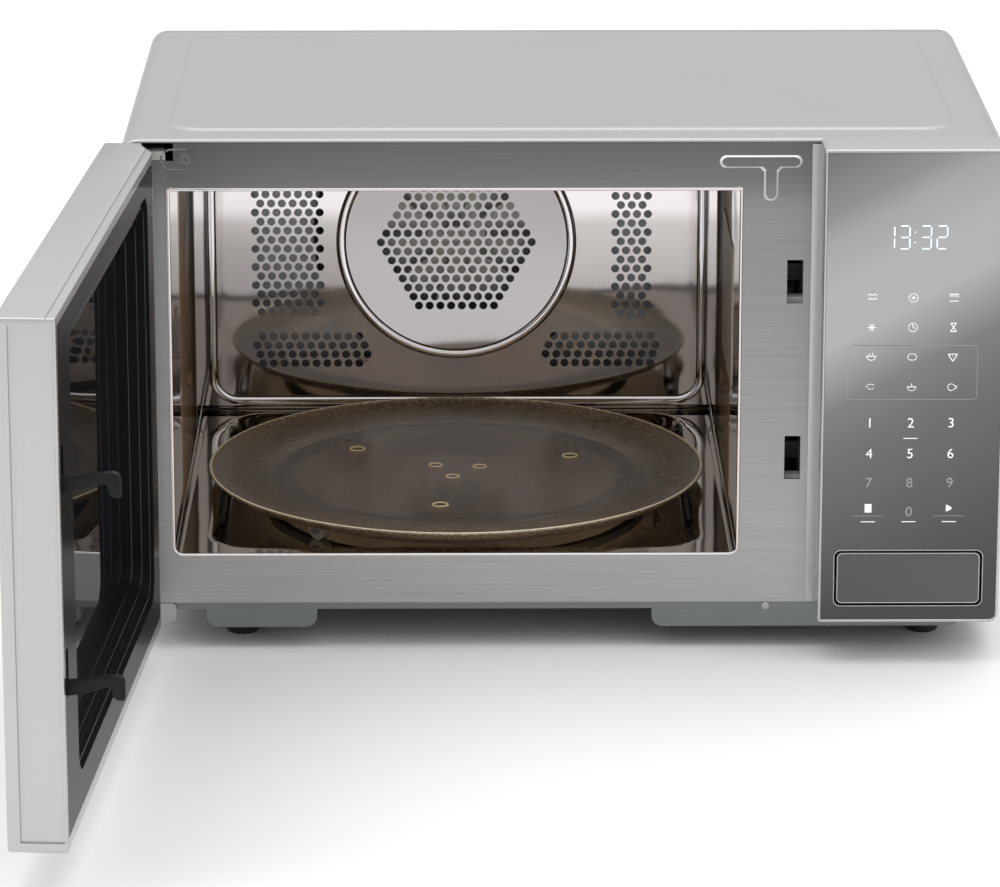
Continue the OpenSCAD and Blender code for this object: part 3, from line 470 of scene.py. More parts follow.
# The press marks beside the upper hinge: a rounded boss outline round a small ring.
boss_steel = finish("boss_steel", 0.20, 0.30, 0.9, (9, 900, 900), 0.10, 0.000012, 0.05)
loop, out = rounded_loop(-0.2485, -0.2288, 0.3112, 0.3240, (0.006,) * 4)
boss = bead(loop, out, 0.0007, 0.0005, right, up, ahead) + place
turn = np.linspace(0, 2 * np.pi, 33)[:-1]
spoke = np.stack([np.cos(turn), np.sin(turn)], -1)
dimple = bead(0.0026 * spoke + (-0.2338, 0.3176), spoke, 0.0009, 0.0008, right, up, ahead) + place
piece("hinge_boss", *joined([(mark, [round_faces(mark)]) for mark in (boss, dimple)]), boss_steel,
    "brushed_front", "cabinet", crease=60)

# ---- Oven cavity ----
# Bright stainless sheet: walls and ceiling in one bend, a floor pressed down into a rounded square
# well for the turntable, and a perforated rear wall with raised beads. All are spot welded.
cavity_steel = finish("cavity_steel", (0.72, 0.69, 0.70), 0.055, 1.0, 300, 0.02, 0.0, 0.06, 0.0010)
wall_steel = finish("wall_steel", (0.66, 0.545, 0.43), 0.06, 1.0, 300, 0.02, 0.0, 0.10, 0.0014)
# The side walls' colour is a painted reflection: bands across their depth, pale near the mouth and the back
# and brown and near-black between. In those bands the steel also loses its shine and shows only that colour.
brown, dark = (0.30, 0.175, 0.08), (0.09, 0.055, 0.03)
reflection_bands = ((0.0, 0.85), (0.085, 0.80), (0.10, brown), (0.19, (0.22, 0.155, 0.10)), (0.255, dark),
    (0.272, dark), (0.285, 0.80), (0.345, 0.75))
reflection_metal_share = ((0.0, 1), (0.085, 1), (0.105, 0.10), (0.19, 0.16), (0.272, 0.06), (0.29, 1), (0.345, 1))
tinted(wall_steel, group_colour(wall_steel), (0, 1, 0),
    [(front_y + depth, colour) for depth, colour in reflection_bands])
tinted(wall_steel, wall_steel.node_tree.nodes["Principled BSDF"].inputs["Metallic"], (0, 1, 0),
    [(front_y + depth, share) for depth, share in reflection_metal_share])
wall_steel.node_tree.nodes["Principled BSDF"].inputs["Specular IOR Level"].default_value = 0.0
coat(wall_steel, "cavity_walls")
well_floor, well_half, table_x, table_y = 0.0495, 0.1572, -0.067, 0.175
hole = 0.012
fx = steps(cavity_left, (cavity_left + 0.006, 0.001), (table_x - well_half + 0.014, 0.0016),
    (table_x - hole, 0.005), (table_x + hole, 0.004),
    (table_x + well_half - 0.014, 0.005), (cavity_right - 0.006, 0.0016), (cavity_right, 0.001))
fy = steps(0.0012, (0.017, 0.004), (0.033, 0.0016), (table_y - hole, 0.005), (table_y + hole, 0.004),
    (0.324, 0.005), (0.338, 0.0016), (cavity_deep, 0.001))
gx, gy = np.meshgrid(fx, fy, indexing="ij")
square = np.maximum(np.abs(gx - table_x), np.abs(gy - table_y))
round_ = np.hypot(gx - table_x, gy - table_y)
to_circle = np.where((square > 0) & (square < 0.036),
    1 + (square / np.maximum(round_, 1e-9) - 1) * np.clip((0.036 - square) / 0.024, 0, 1), 1.0)
well_in = inside_rounded(gx, gy, table_x - well_half, table_x + well_half, 0.018, 0.340, 0.033)
fall = soft_step(well_in / 0.0105)
wall_gap = np.minimum(np.minimum(gx - cavity_left, cavity_right - gx), cavity_deep - gy)
fillet = 0.004
curl = fillet - np.sqrt(np.maximum(fillet**2 - np.maximum(fillet - wall_gap, 0) ** 2, 0))
pan = np.stack([mid_x + table_x + (gx - table_x) * to_circle,
    front_y + table_y + (gy - table_y) * to_circle, cavity_rim - (cavity_rim - well_floor) * fall + curl],
    -1)
pan_faces = grid_faces(*gx.shape)
pan_faces = pan_faces[square.ravel()[pan_faces].mean(1) > hole]
pan_steel = finish("pan_steel", (0.47, 0.42, 0.37), 0.06, 1.0, 300, 0.02, 0.0, 0.10, 0.0010)
pan_piece = piece("pressed_floor", pan, [pan_faces], pan_steel, "cavity_steel", "cabinet",
    ("cavity_floor",), 60, up)
thick = pan_piece.modifiers.new("sheet", "SOLIDIFY")
thick.thickness = 0.001
thick.offset = -1.0

loop, out = rounded_loop(-0.2355, 0.103, 0.0695, 0.292, (0.017,) * 4, 12)
border = bead(loop, out, 0.0032, 0.0020, right, up, ahead, 13) + place + np.array([0, cavity_deep, 0])
piece("rear_border_bead", border, [round_faces(border)], cavity_steel,
    "cavity_steel", "cabinet", crease=70)
fan_x, fan_z, fan_bead = -0.0666, 0.182, 0.0795

# The disc inside the fan bead is dished: its surface leans back a little, by a slope that stops at the
# bead.
dished = cavity_steel.copy()
dished.name = "dished_steel"
tree = dished.node_tree
spot, split, reach, inside, lean, slope, blend = (tree.nodes.new("ShaderNode" + kind)
    for kind in ("TexCoord", "SeparateXYZ", "VectorMath", "Math", "Math", "Bump", "MixRGB"))
reach.operation = "DISTANCE"
reach.inputs[1].default_value = (mid_x + fan_x, front_y + cavity_deep, fan_z)
inside.operation = "LESS_THAN"
inside.inputs[1].default_value = fan_bead
lean.operation = "MULTIPLY"
slope.inputs["Distance"].default_value = 0.075
slope.invert = True
group, shader = next(n for n in tree.nodes if n.type == "GROUP"), tree.nodes["Principled BSDF"]
blend.inputs["Color2"].default_value = (0.40, 0.38, 0.38, 1)
wire(tree, (spot, "Object", split, 0), (spot, "Object", reach, 0), (reach, "Value", inside, 0),
    (split, "Z", lean, 0), (inside, 0, lean, 1), (lean, 0, slope, "Height"),
    (group, "Normal", slope, "Normal"),
    (slope, 0, shader, "Normal"), (inside, 0, blend, "Fac"), (blend, "Color", group, "Colour"))
# Outside the bead the rear wall's colour is a painted reflection: dark below about 0.2 m up and bright above.
# Inside the bead it is one even mid grey.
tinted(dished, blend.inputs["Color1"], (0, 0, 1),
    ((0.06, (0.36, 0.33, 0.32)), (0.14, (0.40, 0.37, 0.36)), (0.195, (0.50, 0.47, 0.46)),
    (0.206, (0.74, 0.70, 0.70)), (0.30, (0.76, 0.72, 0.72))))
coat(dished, "cavity_rear_wall")
angle = np.linspace(0, 2 * np.pi, 121)[:-1]
spoke = np.stack([np.cos(angle), np.sin(angle)], -1)
ring = bead(fan_bead * spoke + (fan_x, fan_z), spoke, 0.0034, 0.0019, right, up, ahead,
    13) + place + np.array([0, cavity_deep, 0])
piece("fan_ring_bead", ring, [round_faces(ring)], cavity_steel,
    "cavity_steel", "cabinet", crease=70)

# ---- Mica cover ----
# Pressed mica sheet, brown and slightly layered.
# It is cut to size and clipped over the microwave inlet in the right wall.
mica = finish("mica_sheet", (0.42, 0.36, 0.28), 0.45, 0.0, (900, 400, 400), 0.18, 0.00003, 0.15)
coat(mica, "waveguide_cover")

# ---- Convection system ----
# Radial fan wheel of stamped aluminium and a ring of sheathed heater behind the rear wall,
# driven by a shaded-pole motor outside the casing.
coat(finish("fan_metal", (0.50, 0.48, 0.45), 0.34, 0.9, 500, 0.10, 0.00001, 0.10), "convection_fan")
coat(finish("heater_sheath", (0.20, 0.17, 0.15), 0.48, 0.6, 700, 0.16, 0.00002, 0.18), "convection_heater")
coat(finish("motor_shell", (0.36, 0.36, 0.37), 0.45, 0.8, 900, 0.14, 0.00002, 0.10), "convection_motor",
    "cooling_fan_motor", "turntable_motor")

# ---- Lamp ----
# Small clear bulb of blown glass.
# It sits in a sheet holder outside the right wall and shines in through punched holes.
coat(finish("bulb_glass", (0.93, 0.91, 0.85), 0.12, 0.0, 200, 0.03, 0.0, 0.05), "cavity_lamp")

# ---- Magnetron and high-voltage parts ----
# Finned magnetron in a steel yoke, a laminated transformer with copper windings, an oval
# capacitor can and its diode, all screwed to the base pan at the right.
coat(finish("magnetron_metal", (0.46, 0.47, 0.50), 0.36, 0.9, 400, 0.10, 0.00001, 0.08), "magnetron")
coat(finish("iron_core", (0.13, 0.12, 0.12), 0.52, 0.7, (60, 60, 2400), 0.35, 0.00006, 0.10),
    "transformer_core")
coat(finish("copper_winding", (0.46, 0.20, 0.09), 0.33, 0.9, (200, 200, 1500), 0.25, 0.00008, 0.10),
    "transformer_windings")
coat(finish("can_metal", (0.58, 0.59, 0.60), 0.30, 0.9, (200, 200, 900), 0.08, 0.00001, 0.06), "capacitor")

# ---- Cooling fan, board and small electrical parts ----
# Moulded white fan, shroud and carriers, black switches and fittings, and a green circuit board.
# They are screwed or clipped to the panel frame and the base pan.
coat(finish("black_plastic", (0.022, 0.022, 0.024), 0.46, 0.0, 1400, 0.15, 0.00003, 0.05), "diode",
    "noise_filter", "thermal_cutouts", "microswitches", "display_module", "cord_gland")
coat(finish("white_plastic", (0.70, 0.70, 0.67), 0.42, 0.0, 900, 0.05, 0.00002, 0.04), "cooling_fan_blade",
    "fan_shroud", "release_lever", "latch_bracket")
coat(finish("board_green", (0.03, 0.16, 0.07), 0.40, 0.0, 700, 0.30, 0.00002, 0.10), "control_board")

# ---- Roller ring and coupler ----
# Heat-proof moulded ring that lies loose in the well, with three lighter rollers on its arms.
# The drive coupler is of the same plastic as the rollers and sits on the motor shaft.
coat(finish("ring_plastic", (0.20, 0.19, 0.18), 0.42, 0.0, 900, 0.10, 0.00002, 0.05), "roller_ring")
coat(finish("roller_plastic", (0.50, 0.47, 0.41), 0.40, 0.0, 900, 0.06, 0.00002, 0.04), "roller_1",
    "roller_2", "roller_3", "drive_coupler")

# ---- Glass tray ----
# Pressed amber glass, pebbled underneath, with a raised rim.
# Three lugs under the middle take the coupler, and the tray lies loose on the rollers.
tray_z, tray_r = 0.0638, 0.164
rim_angle = np.radians(np.linspace(0, 180, 9))
rim = np.stack([tray_r - 0.00135 + 0.00135 * np.cos(rim_angle),
    tray_z + 0.00785 + 0.00135 * np.sin(rim_angle)], -1)
out_r = steps(0.002, (0.109, 0.008), (0.119, 0.0012), (tray_r - 0.0135, 0.005))
ridge = 0.0006 * np.exp(-(((out_r - 0.114) / 0.0022) ** 2))
foot_r = tray_r - 0.013 + np.array([0.002, 0.004, 0.006, 0.008, 0.010, 0.0115])
foot_rise = 0.0070 * ((foot_r - tray_r + 0.013) / 0.0115) ** 1.7
slope_r = tray_r - 0.0135 + np.array([0.009, 0.0065, 0.004, 0.0018])
slope_rise = 0.004 + 0.0049 * ((slope_r - tray_r + 0.0135) / 0.0112) ** 1.5
section = np.concatenate([
    [[0.0, tray_z + 0.0006]],
    np.stack([out_r, tray_z + 0.0006 - ridge], -1),
    np.stack([foot_r, tray_z + foot_rise], -1),
    rim,
    np.stack([slope_r, tray_z + slope_rise], -1),
    np.stack([out_r[::-1], np.full(out_r.size, tray_z + 0.004)], -1),
    [[0.0, tray_z + 0.004]],
])


def lathe(section, x, y, count):
    """Surface of revolution: each radius and height of the section goes round the upright axis at x, y."""
    angle = np.linspace(0, 2 * np.pi, count + 1)[:-1]
    reach = section[:, :1]
    points = np.stack([x + reach * np.cos(angle), y + reach * np.sin(angle),
        section[:, 1:] + 0 * reach * angle], -1)
    return points, grid_faces(section.shape[0], count, closed=True)


tray_x, tray_y = mid_x + table_x, front_y + table_y
tray_points, tray_faces = lathe(section, tray_x, tray_y, 144)
amber = bpy.data.materials.new("amber_glass")
amber.use_nodes = True
tree = amber.node_tree
shader = tree.nodes["Principled BSDF"]
preset(shader, Transmission_Weight=1.0, IOR=1.5)
spot, flat, reach, pebble, raised, press, speckle, glow, slope_mask, frost, lit_rim = (
    tree.nodes.new("ShaderNode" + kind) for kind in ("TexCoord", "VectorMath", "VectorMath", "TexVoronoi",
    "Math", "Bump", "ValToRGB", "MixRGB", "MapRange", "MapRange", "MapRange"))
flat.operation, reach.operation, raised.operation = "MULTIPLY", "DISTANCE", "MULTIPLY"
flat.inputs[1].default_value = (1, 1, 0)
reach.inputs[1].default_value = (tray_x, tray_y, 0)
pebble.feature = "SMOOTH_F1"
preset(pebble, Scale=620.0)
preset(press, Distance=0.0008)
# Towards the rim the base colour turns to the lighter speckled amber and less light passes through, so the
# slope and rim show pale amber: a painted highlight.
preset(glow, Color1=(0.74, 0.57, 0.35, 1))
preset(slope_mask, From_Min=0.114, From_Max=0.142, To_Min=0.05, To_Max=1.0)
preset(frost, From_Min=0.116, From_Max=0.135, To_Min=0.17, To_Max=0.035)
preset(lit_rim, From_Min=0.120, From_Max=0.1625, To_Min=1.0, To_Max=0.62)
for element, position, colour in zip(speckle.color_ramp.elements, (0.12, 0.42),
    ((1.0, 0.90, 0.66, 1), (0.52, 0.39, 0.24, 1))):
    element.position = position
    element.color = colour
wire(tree, (spot, "Object", flat, 0), (flat, 0, reach, 0), (spot, "Object", pebble, "Vector"),
    *[(reach, "Value", mask, "Value") for mask in (slope_mask, frost, lit_rim)],
    (pebble, "Distance", speckle, "Fac"), (slope_mask, "Result", glow, "Fac"),
    (speckle, "Color", glow, "Color2"), (glow, "Color", shader, "Base Color"),
    (pebble, "Distance", raised, 0), (slope_mask, "Result", raised, 1), (raised, 0, press, "Height"),
    (press, 0, shader, "Normal"), (frost, "Result", shader, "Roughness"),
    (lit_rim, "Result", shader, "Transmission Weight"))
piece("amber_tray", tray_points, [tray_faces], amber, "tray_glass", "turntable", ("glass_tray",), 50)
hub_lug = np.array([[0.0, 0.0008], [0.0042, 0.0008], [0.0036, -0.0028], [0.0026, -0.0039], [0.0, -0.0040]])
pad = np.array([[0.0, 0.0008], [0.0048, 0.0008], [0.0045, -0.0004], [0.0034, -0.0011], [0.0, -0.0012]])
bearing = np.radians((23, 143, 263))
lug_reach, pad_reach = 0.017, 0.083
lugs = [lathe(shape + (0, tray_z), tray_x + away * np.cos(a), tray_y + away * np.sin(a), 20)
    for shape, away in ((hub_lug, lug_reach), (pad, pad_reach)) for a in bearing]
piece("tray_lugs", *joined([(points, [faces]) for points, faces in lugs]), amber, "tray_glass", "turntable")
# Gold rings over the lugs and pads that glow a little: painted highlights where the lugs and pads catch the
# light through the glass.
glint = finish("painted_glint", (0.86, 0.68, 0.40), 0.16, 0.0, 900, 0.05, 0.0, 0.05,
    Emission_Color=(0.9, 0.68, 0.36, 1), Emission_Strength=0.12)
marks = [bead(size * spoke + (tray_x + away * np.cos(a), tray_y + away * np.sin(a)), spoke, 0.0007, 0.0005,
    right, -ahead, up, 7) + np.array([0, 0, tray_z + 0.004])
    for size, away in ((0.0042, lug_reach), (0.0048, pad_reach)) for a in bearing]
piece("glint_rings", *joined([(mark, [round_faces(mark)]) for mark in marks]), glint, "tray_glass",
    "turntable", crease=60)
# A thin ring on top of the rim that glows a little: a painted highlight along the rim.
rim_light = finish("rim_light", (0.92, 0.82, 0.62), 0.10, 0.0, 700, 0.20, 0.0, 0.20,
    Emission_Color=(0.9, 0.76, 0.5, 1), Emission_Strength=0.10)
rim_highlight = bead((tray_r - 0.0013) * spoke + (tray_x, tray_y), spoke, 0.0009, 0.0005, right, -ahead, up,
    7) + np.array([0, 0, tray_z + 0.0087])
piece("rim_highlight", rim_highlight, [round_faces(rim_highlight)], rim_light,
    "tray_glass", "turntable", crease=60)

# ---- Control panel ----
# Silver moulded bezel round a sheet of smoked mirror glass, with white print behind the glass,
# a clock display and a wide push button at the bottom.
satin_silver = finish("satin_silver", 0.50, 0.27, 0.75, 1800, 0.02, 0.000002, 0.03)


def loft(rings):
    """Surface through a list of closed outlines with the same number of points, from each one to the next,
    and from the last to the first."""
    points = np.stack(rings)
    return points, [round_faces(points)]


def slab(loop, out, low, high, axis, roll):
    """Solid plate: an outline in the two axes beside axis, carried from low to high along it. Its edge at
    high, and at low, rolls over with a quarter circle of radius roll."""
    turn = np.radians(np.linspace(0, 90, 5))
    inset = roll * (1 - np.cos(turn))
    level = roll * (1 - np.sin(turn))
    levels = np.concatenate([low + level[::-1], high - level])
    insets = np.concatenate([inset[::-1], inset])
    flat = loop[None] - out[None] * insets[:, None, None]
    points = np.insert(flat, axis, np.broadcast_to(levels[:, None], flat.shape[:2]), axis=2)
    count = loop.shape[0]
    caps = [np.arange(count)[None], (np.arange(count) + (levels.size - 1) * count)[None]]
    return points, [grid_faces(levels.size, count, closed=True), *caps]


panel_left, panel_right, panel_low, panel_high, stand = 0.1595, 0.273, 0.0277, 0.331, 0.035
window = (0.1697, 0.2622, 0.0389, 0.0747)
quarter = np.radians(np.linspace(0, 90, 6))
frames = [(0.0, 0.0), *zip(-stand + 0.0014 * (1 - np.sin(quarter)), 0.0014 * (1 - np.cos(quarter))),
    (-stand, 0.0017), (-stand + 0.0003, 0.00195), (-stand + 0.003, 0.002)]
rings = []
for y, t in frames:
    loop, out = rounded_loop(panel_left, panel_right, panel_low, panel_high, (0.006, 0.006, 0.0025, 0.0025))
    rings.append(np.insert(loop - out * t, 1, y, axis=1))
for y in (-stand + 0.003, -stand + 0.0054):
    loop, out = rounded_loop(*window, (0.004,) * 4)
    rings.append(np.insert(loop, 1, y, axis=1))
for y in (-stand + 0.0054, 0.0):
    loop, out = rounded_loop(panel_left, panel_right, panel_low, panel_high, (0.006, 0.006, 0.0025, 0.0025))
    rings.append(np.insert(loop - out * 0.0024, 1, y, axis=1))
loop, out = rounded_loop(0.154, panel_left + 0.001, 0.031, 0.327, (0.0005,) * 4, 3)
points, faces = joined([loft(rings), slab(loop, out, -0.0012, -0.0002, 1, 0.0003)])
piece("silver_bezel", points + place, faces, satin_silver, "bezel_silver", "cabinet", ("panel_bezel",), 38)

mirror = finish("smoked_mirror", (0.2, 0.2, 0.205), 0.045, 1.0, 40, 0.02, 0.0, 0.02)
# The glass's colour is a painted reflection: lightest in a diagonal band across its upper middle, darker
# above it and darkest at the bottom.
tinted(mirror, group_colour(mirror), (-0.55, 0, 1),
    ((-0.10, 0.075), (-0.07, 0.083), (-0.028, 0.105), (0.03, 0.14), (0.064, 0.185), (0.106, 0.375),
    (0.14, 0.375), (0.171, 0.325), (0.189, 0.24), (0.23, 0.15)))
outer, out = rounded_loop(panel_left + 0.0021, panel_right - 0.0021, panel_low + 0.0021,
    panel_high - 0.0021, (0.004, 0.004, 0.0008, 0.0008))
inner, out = rounded_loop(*window, (0.004,) * 4)
sheet = [np.insert(loop, 1, y - stand, axis=1) + place
    for loop, y in ((outer, 0.0003), (inner, 0.0003), (inner, 0.003), (outer, 0.003))]
piece("mirror_glass", *loft(sheet), mirror, "panel_mirror", "cabinet", ("panel_glass",), 30)

# ---- Print and clock ----
# White print, numbers and plain signs, laid on the glass as thin flat shapes that glow a little.
# The clock is drawn in straight bars with pointed ends, in a cooler light.
white_print = finish("white_print", 0.86, 0.5, 0.0, 900, 0.03, 0.0, 0.02, Emission_Color=(1, 1, 1, 1),
    Emission_Strength=0.25)
dim_print = finish("dim_print", 0.36, 0.5, 0.0, 900, 0.03, 0.0, 0.02)
clock_light = finish("clock_light", (0.75, 0.88, 1.0), 0.5, 0.0, 900, 0.03, 0.0, 0.02,
    Emission_Color=(0.75, 0.88, 1.0, 1), Emission_Strength=0.55)
glass_y = front_y - stand + 0.00024


def strokes(lines, width):
    """Flat bars with pointed ends: each line from x, z to x, z becomes six points, its ends and its four
    shoulders half a width in from them and to each side."""
    lines = np.asarray(lines, float)
    start, end = lines[:, :2], lines[:, 2:]
    along = (end - start) / np.maximum(np.hypot(*(end - start).T), 1e-9)[:, None] * width / 2
    side = np.stack([-along[:, 1], along[:, 0]], -1)
    flat = np.stack([start, start + along - side, end - along - side, end, end - along + side,
        start + along + side], 1)
    points = np.stack([mid_x + flat[..., 0], np.full(flat.shape[:2], glass_y), flat[..., 1]], -1)
    return points.reshape(-1, 3), np.arange(points.shape[0] * 6).reshape(-1, 6)


def arc(x, z, radius, start, end, count):
    """Lines along a circular arc from one angle to another, in degrees."""
    angle = np.radians(np.linspace(start, end, count + 1))
    path = np.stack([x + radius * np.cos(angle), z + radius * np.sin(angle)], -1)
    return np.concatenate([path[:-1], path[1:]], -1)


bars = {"a": (0, 1, 1, 1), "b": (1, 1, 1, 0.5), "c": (1, 0.5, 1, 0), "d": (0, 0, 1, 0), "e": (0, 0.5, 0, 0),
    "f": (0, 1, 0, 0.5), "g": (0, 0.5, 1, 0.5)}
lit = []
for x, shape in ((0.1968, "bc"), (0.2062, "abcdg"), (0.2194, "abcdg"), (0.2293, "abdeg")):
    for letter in shape:
        x0, z0, x1, z1 = bars[letter]
        start, end = np.array([x0 * 0.0062, z0 * 0.0144]), np.array([x1 * 0.0062, z1 * 0.0144])
        trim = (end - start) / np.hypot(*(end - start)) * 0.0005
        lit.append((*(start + trim + (x, 0.2688)), *(end - trim + (x, 0.2688))))
lit += [(0.2157, 0.2722, 0.2157, 0.2734), (0.2157, 0.2786, 0.2157, 0.2798)]
points, faces = strokes(lit, 0.00082)
piece("clock_bars", points, [faces], clock_light, "panel_mirror", "cabinet", towards=ahead)

signs = [
    [(-1, 0.5, -0.5, 0.9), (-0.5, 0.9, 0, 0.5), (0, 0.5, 0.5, 0.9), (0.5, 0.9, 1, 0.5), (-1, -0.4, -0.5, 0),
    (-0.5, 0, 0, -0.4), (0, -0.4, 0.5, 0), (0.5, 0, 1, -0.4)],
    [*arc(0, 0, 0.95, 0, 360, 14), (-0.5, 0, 0.5, 0), (0, -0.5, 0, 0.5)],
    [(-1, 0.8, 1, 0.8), *[(x, 0.8, x + 0.25, 0.1) for x in (-0.9, -0.35, 0.2, 0.7)], (-1, -0.7, 1, -0.7)],
    [(-0.9, 0, 0.9, 0), (-0.45, -0.8, 0.45, 0.8), (-0.45, 0.8, 0.45, -0.8)],
    [*arc(0, 0, 0.95, 0, 360, 14), (0, 0, 0, 0.7), (0, 0, 0.45, -0.2)],
    [(-0.7, 0.9, 0.7, 0.9), (-0.7, -0.9, 0.7, -0.9), (-0.6, 0.9, 0.6, -0.9), (0.6, 0.9, -0.6, -0.9)],
    [*arc(0, 0.2, 0.95, 180, 360, 8), (-1.1, 0.2, 1.1, 0.2), (-0.4, 0.45, -0.4, 0.9),
    (0.3, 0.45, 0.3, 0.9)],
    [*arc(-0.25, 0, 0.7, 70, 290, 8), *arc(0.25, 0, 0.7, -110, 110, 8)],
    [(-1, 0.6, 1, 0.6), (1, 0.6, 0, -1), (0, -1, -1, 0.6), (-0.15, 0.1, 0.15, 0.1)],
    [*arc(0, -0.6, 1.3, 55, 125, 6), *arc(0, 0.9, 1.3, 235, 305, 6), (-1.1, 0.15, -0.7, 0.15)],
    [*arc(0, 0.1, 0.9, 180, 360, 8), (-1, 0.1, 1, 0.1), (0, 0.3, 0, 0.9)],
    [*arc(-0.2, 0, 0.75, 30, 330, 10), (0.45, 0.37, 1.1, 0.1), (0.45, -0.37, 1.1, -0.1)],
]
columns, rows = (0.1901, 0.2155, 0.2406), (0.2377, 0.2189, 0.2000, 0.1806)
drawn = [np.asarray(sign) * 0.0029 + np.tile((columns[i % 3], rows[i // 3]), 2)
    for i, sign in enumerate(signs)]
small = [(x - 0.0045, z, x + 0.0045, z)
    for x, z in ((0.2155, 0.1477), (columns[0], 0.0937), (columns[1], 0.0937), (columns[2], 0.0937))]
points, faces = strokes(np.concatenate([*drawn, small]), 0.00055)
piece("key_signs", points, [faces], white_print, "panel_mirror", "cabinet", towards=ahead)
under = [(x - 0.0098, 0.0975, x + 0.0098, 0.0975) for x in (columns[0], columns[2])]
stop_sign = [(columns[0] - 0.0024, z, columns[0] + 0.0024, z) for z in np.linspace(0.1003, 0.1047, 5)]
start_sign = [(columns[2] - 0.0022, z, columns[2] - 0.0022 + 0.0046 * (1 - abs(z - 0.1025) / 0.0027), z)
    for z in np.linspace(0.1002, 0.1048, 6)]
points, faces = strokes([*stop_sign, *start_sign], 0.00112)
piece("key_shapes", points, [faces], white_print, "panel_mirror", "cabinet", towards=ahead)
box_loop, out = rounded_loop(0.1757, 0.2560, 0.1728, 0.2073, (0.0026,) * 4, 5)
box_lines = np.concatenate([box_loop, np.roll(box_loop, -1, 0)], -1)
points, faces = strokes(np.concatenate([box_lines, under]), 0.0003)
piece("thin_lines", points, [faces], dim_print, "panel_mirror", "cabinet", towards=ahead)


def numerals(name, marks, size, material):
    """Flat numbers, each centred on its x, z: the outline letters become triangles, whose points are read
    and moved as one array."""
    points, faces, first = [], [], 0
    for text, x, z in marks:
        words = bpy.data.curves.new("number", "FONT")
        words.body, words.size, words.align_x, words.align_y = text, size, "CENTER", "CENTER"
        words.resolution_u = 6
        holder = bpy.data.objects.new("number", words)
        flat = holder.to_mesh()
        spots = np.empty(len(flat.vertices) * 3, np.float32)
        flat.vertices.foreach_get("co", spots)
        spots = spots.reshape(-1, 3)
        points.append(np.stack([mid_x + x + spots[:, 0], np.full(len(spots), glass_y), z + spots[:, 1]],
            -1))
        corners = np.empty(len(flat.loops), np.int32)
        flat.loops.foreach_get("vertex_index", corners)
        faces.append(corners.reshape(-1, 3) + first)
        first += len(spots)
        holder.to_mesh_clear()
        bpy.data.objects.remove(holder)
    return piece(name, np.concatenate(points), faces, material, "panel_mirror", "cabinet", towards=ahead)


rows_of_keys = (("123", 0.1574), ("456", 0.1376))
numerals("numbers_lit", [(mark, x, z) for marks, z in rows_of_keys for mark, x in zip(marks, columns)],
    0.0088, white_print)
numerals("numbers_dim", [*[(mark, x, 0.1188) for mark, x in zip("789", columns)],
    ("0", columns[1], 0.1000)], 0.0088, dim_print)

# ---- Open button ----
# Wide moulded push button, dark grey with a thin bright edge, in a bright-edged window of the glass.
# A smaller block and a stem behind its cap reach back to the release lever.
button_grey = finish("button_grey", (0.085, 0.085, 0.088), 0.42, 0.1, 1600, 0.06, 0.000004, 0.04)
key = (0.1711, 0.2608, 0.0402, 0.0734)
button_parts = []
for edges, radius, front, rear, roll in ((key, 0.0035, -stand + 0.0004, -0.029, 0.0004),
    ((0.174, 0.258, 0.043, 0.0705), 0.002, -0.0291, -0.0245, 0.0003),
    ((0.177, 0.187, 0.053, 0.059), 0.0005, -0.0246, 0.004, 0.0003)):
    button_parts.append(slab(*rounded_loop(*edges, (radius,) * 4), front, rear, 1, roll))
points, faces = joined(button_parts)
piece("push_button", points + place, faces, button_grey, "button_grey", "button", ("open_button",), 38)
for name, edges, grow, radius, rise, body in (("button_edge", key, -0.0005, 0.003, 0.0002, "button"),
    ("window_edge", window, 0.0003, 0.0043, 0.0003, "cabinet")):
    loop, out = rounded_loop(*(np.array(edges) + np.array([-grow, grow, -grow, grow])), (radius,) * 4)
    thin_ring = bead(loop, out, 0.0003, rise, right, up, ahead, 7) + place + (0, -stand + 0.00045, 0)
    piece(name, thin_ring, [round_faces(thin_ring)], satin_silver, "bezel_silver", body)

# ---- Door shell and glass ----
# Silver moulded shell round a dark outer glass. Its free edge has a shallow channel, its top a seam,
# and its hinge end is cut back, with a slot for the hinge plate.
pin_low, pin_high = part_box("hinge_pins")
pin_x, pin_y = (pin_low.x + pin_high.x) / 2, (pin_low.y + pin_high.y) / 2
opening = np.radians(94)


def hung_open(points):
    """Turns points laid out on the shut door clockwise about the hinge pins by the resting angle."""
    x, y = points[..., 0] + mid_x - pin_x, points[..., 1] + front_y - pin_y
    return np.stack([pin_x + x * np.cos(opening) + y * np.sin(opening),
        pin_y - x * np.sin(opening) + y * np.cos(opening), points[..., 2]], -1)


door_left, door_right, door_low, door_high = -0.2765, 0.1575, 0.0277, 0.331
inner_face = -0.0015


def door_outline(x0, x1, z0, z1, radius):
    """Rounded outline of the door in x and z with extra points up its free edge and its hinge end, so that
    the channel and the slot have edges."""
    loop, out = rounded_loop(x0, x1, z0, z1, (radius,) * 4, 5)
    free = np.stack([np.full(6, x1), [0.0332, 0.0334, 0.10, 0.26, 0.3266, 0.3268]], -1)
    hinge = np.stack([np.full(4, x0), [0.3275, 0.3215, 0.20, 0.10]], -1)
    outline = np.concatenate([loop[:5], free, loop[5:15], hinge, loop[15:]])
    outline[5:11, 1] = np.clip(outline[5:11, 1], z0 + radius, z1 - radius)
    outline[21:25, 1] = np.clip(outline[21:25, 1], z0 + radius, z1 - radius)
    return outline


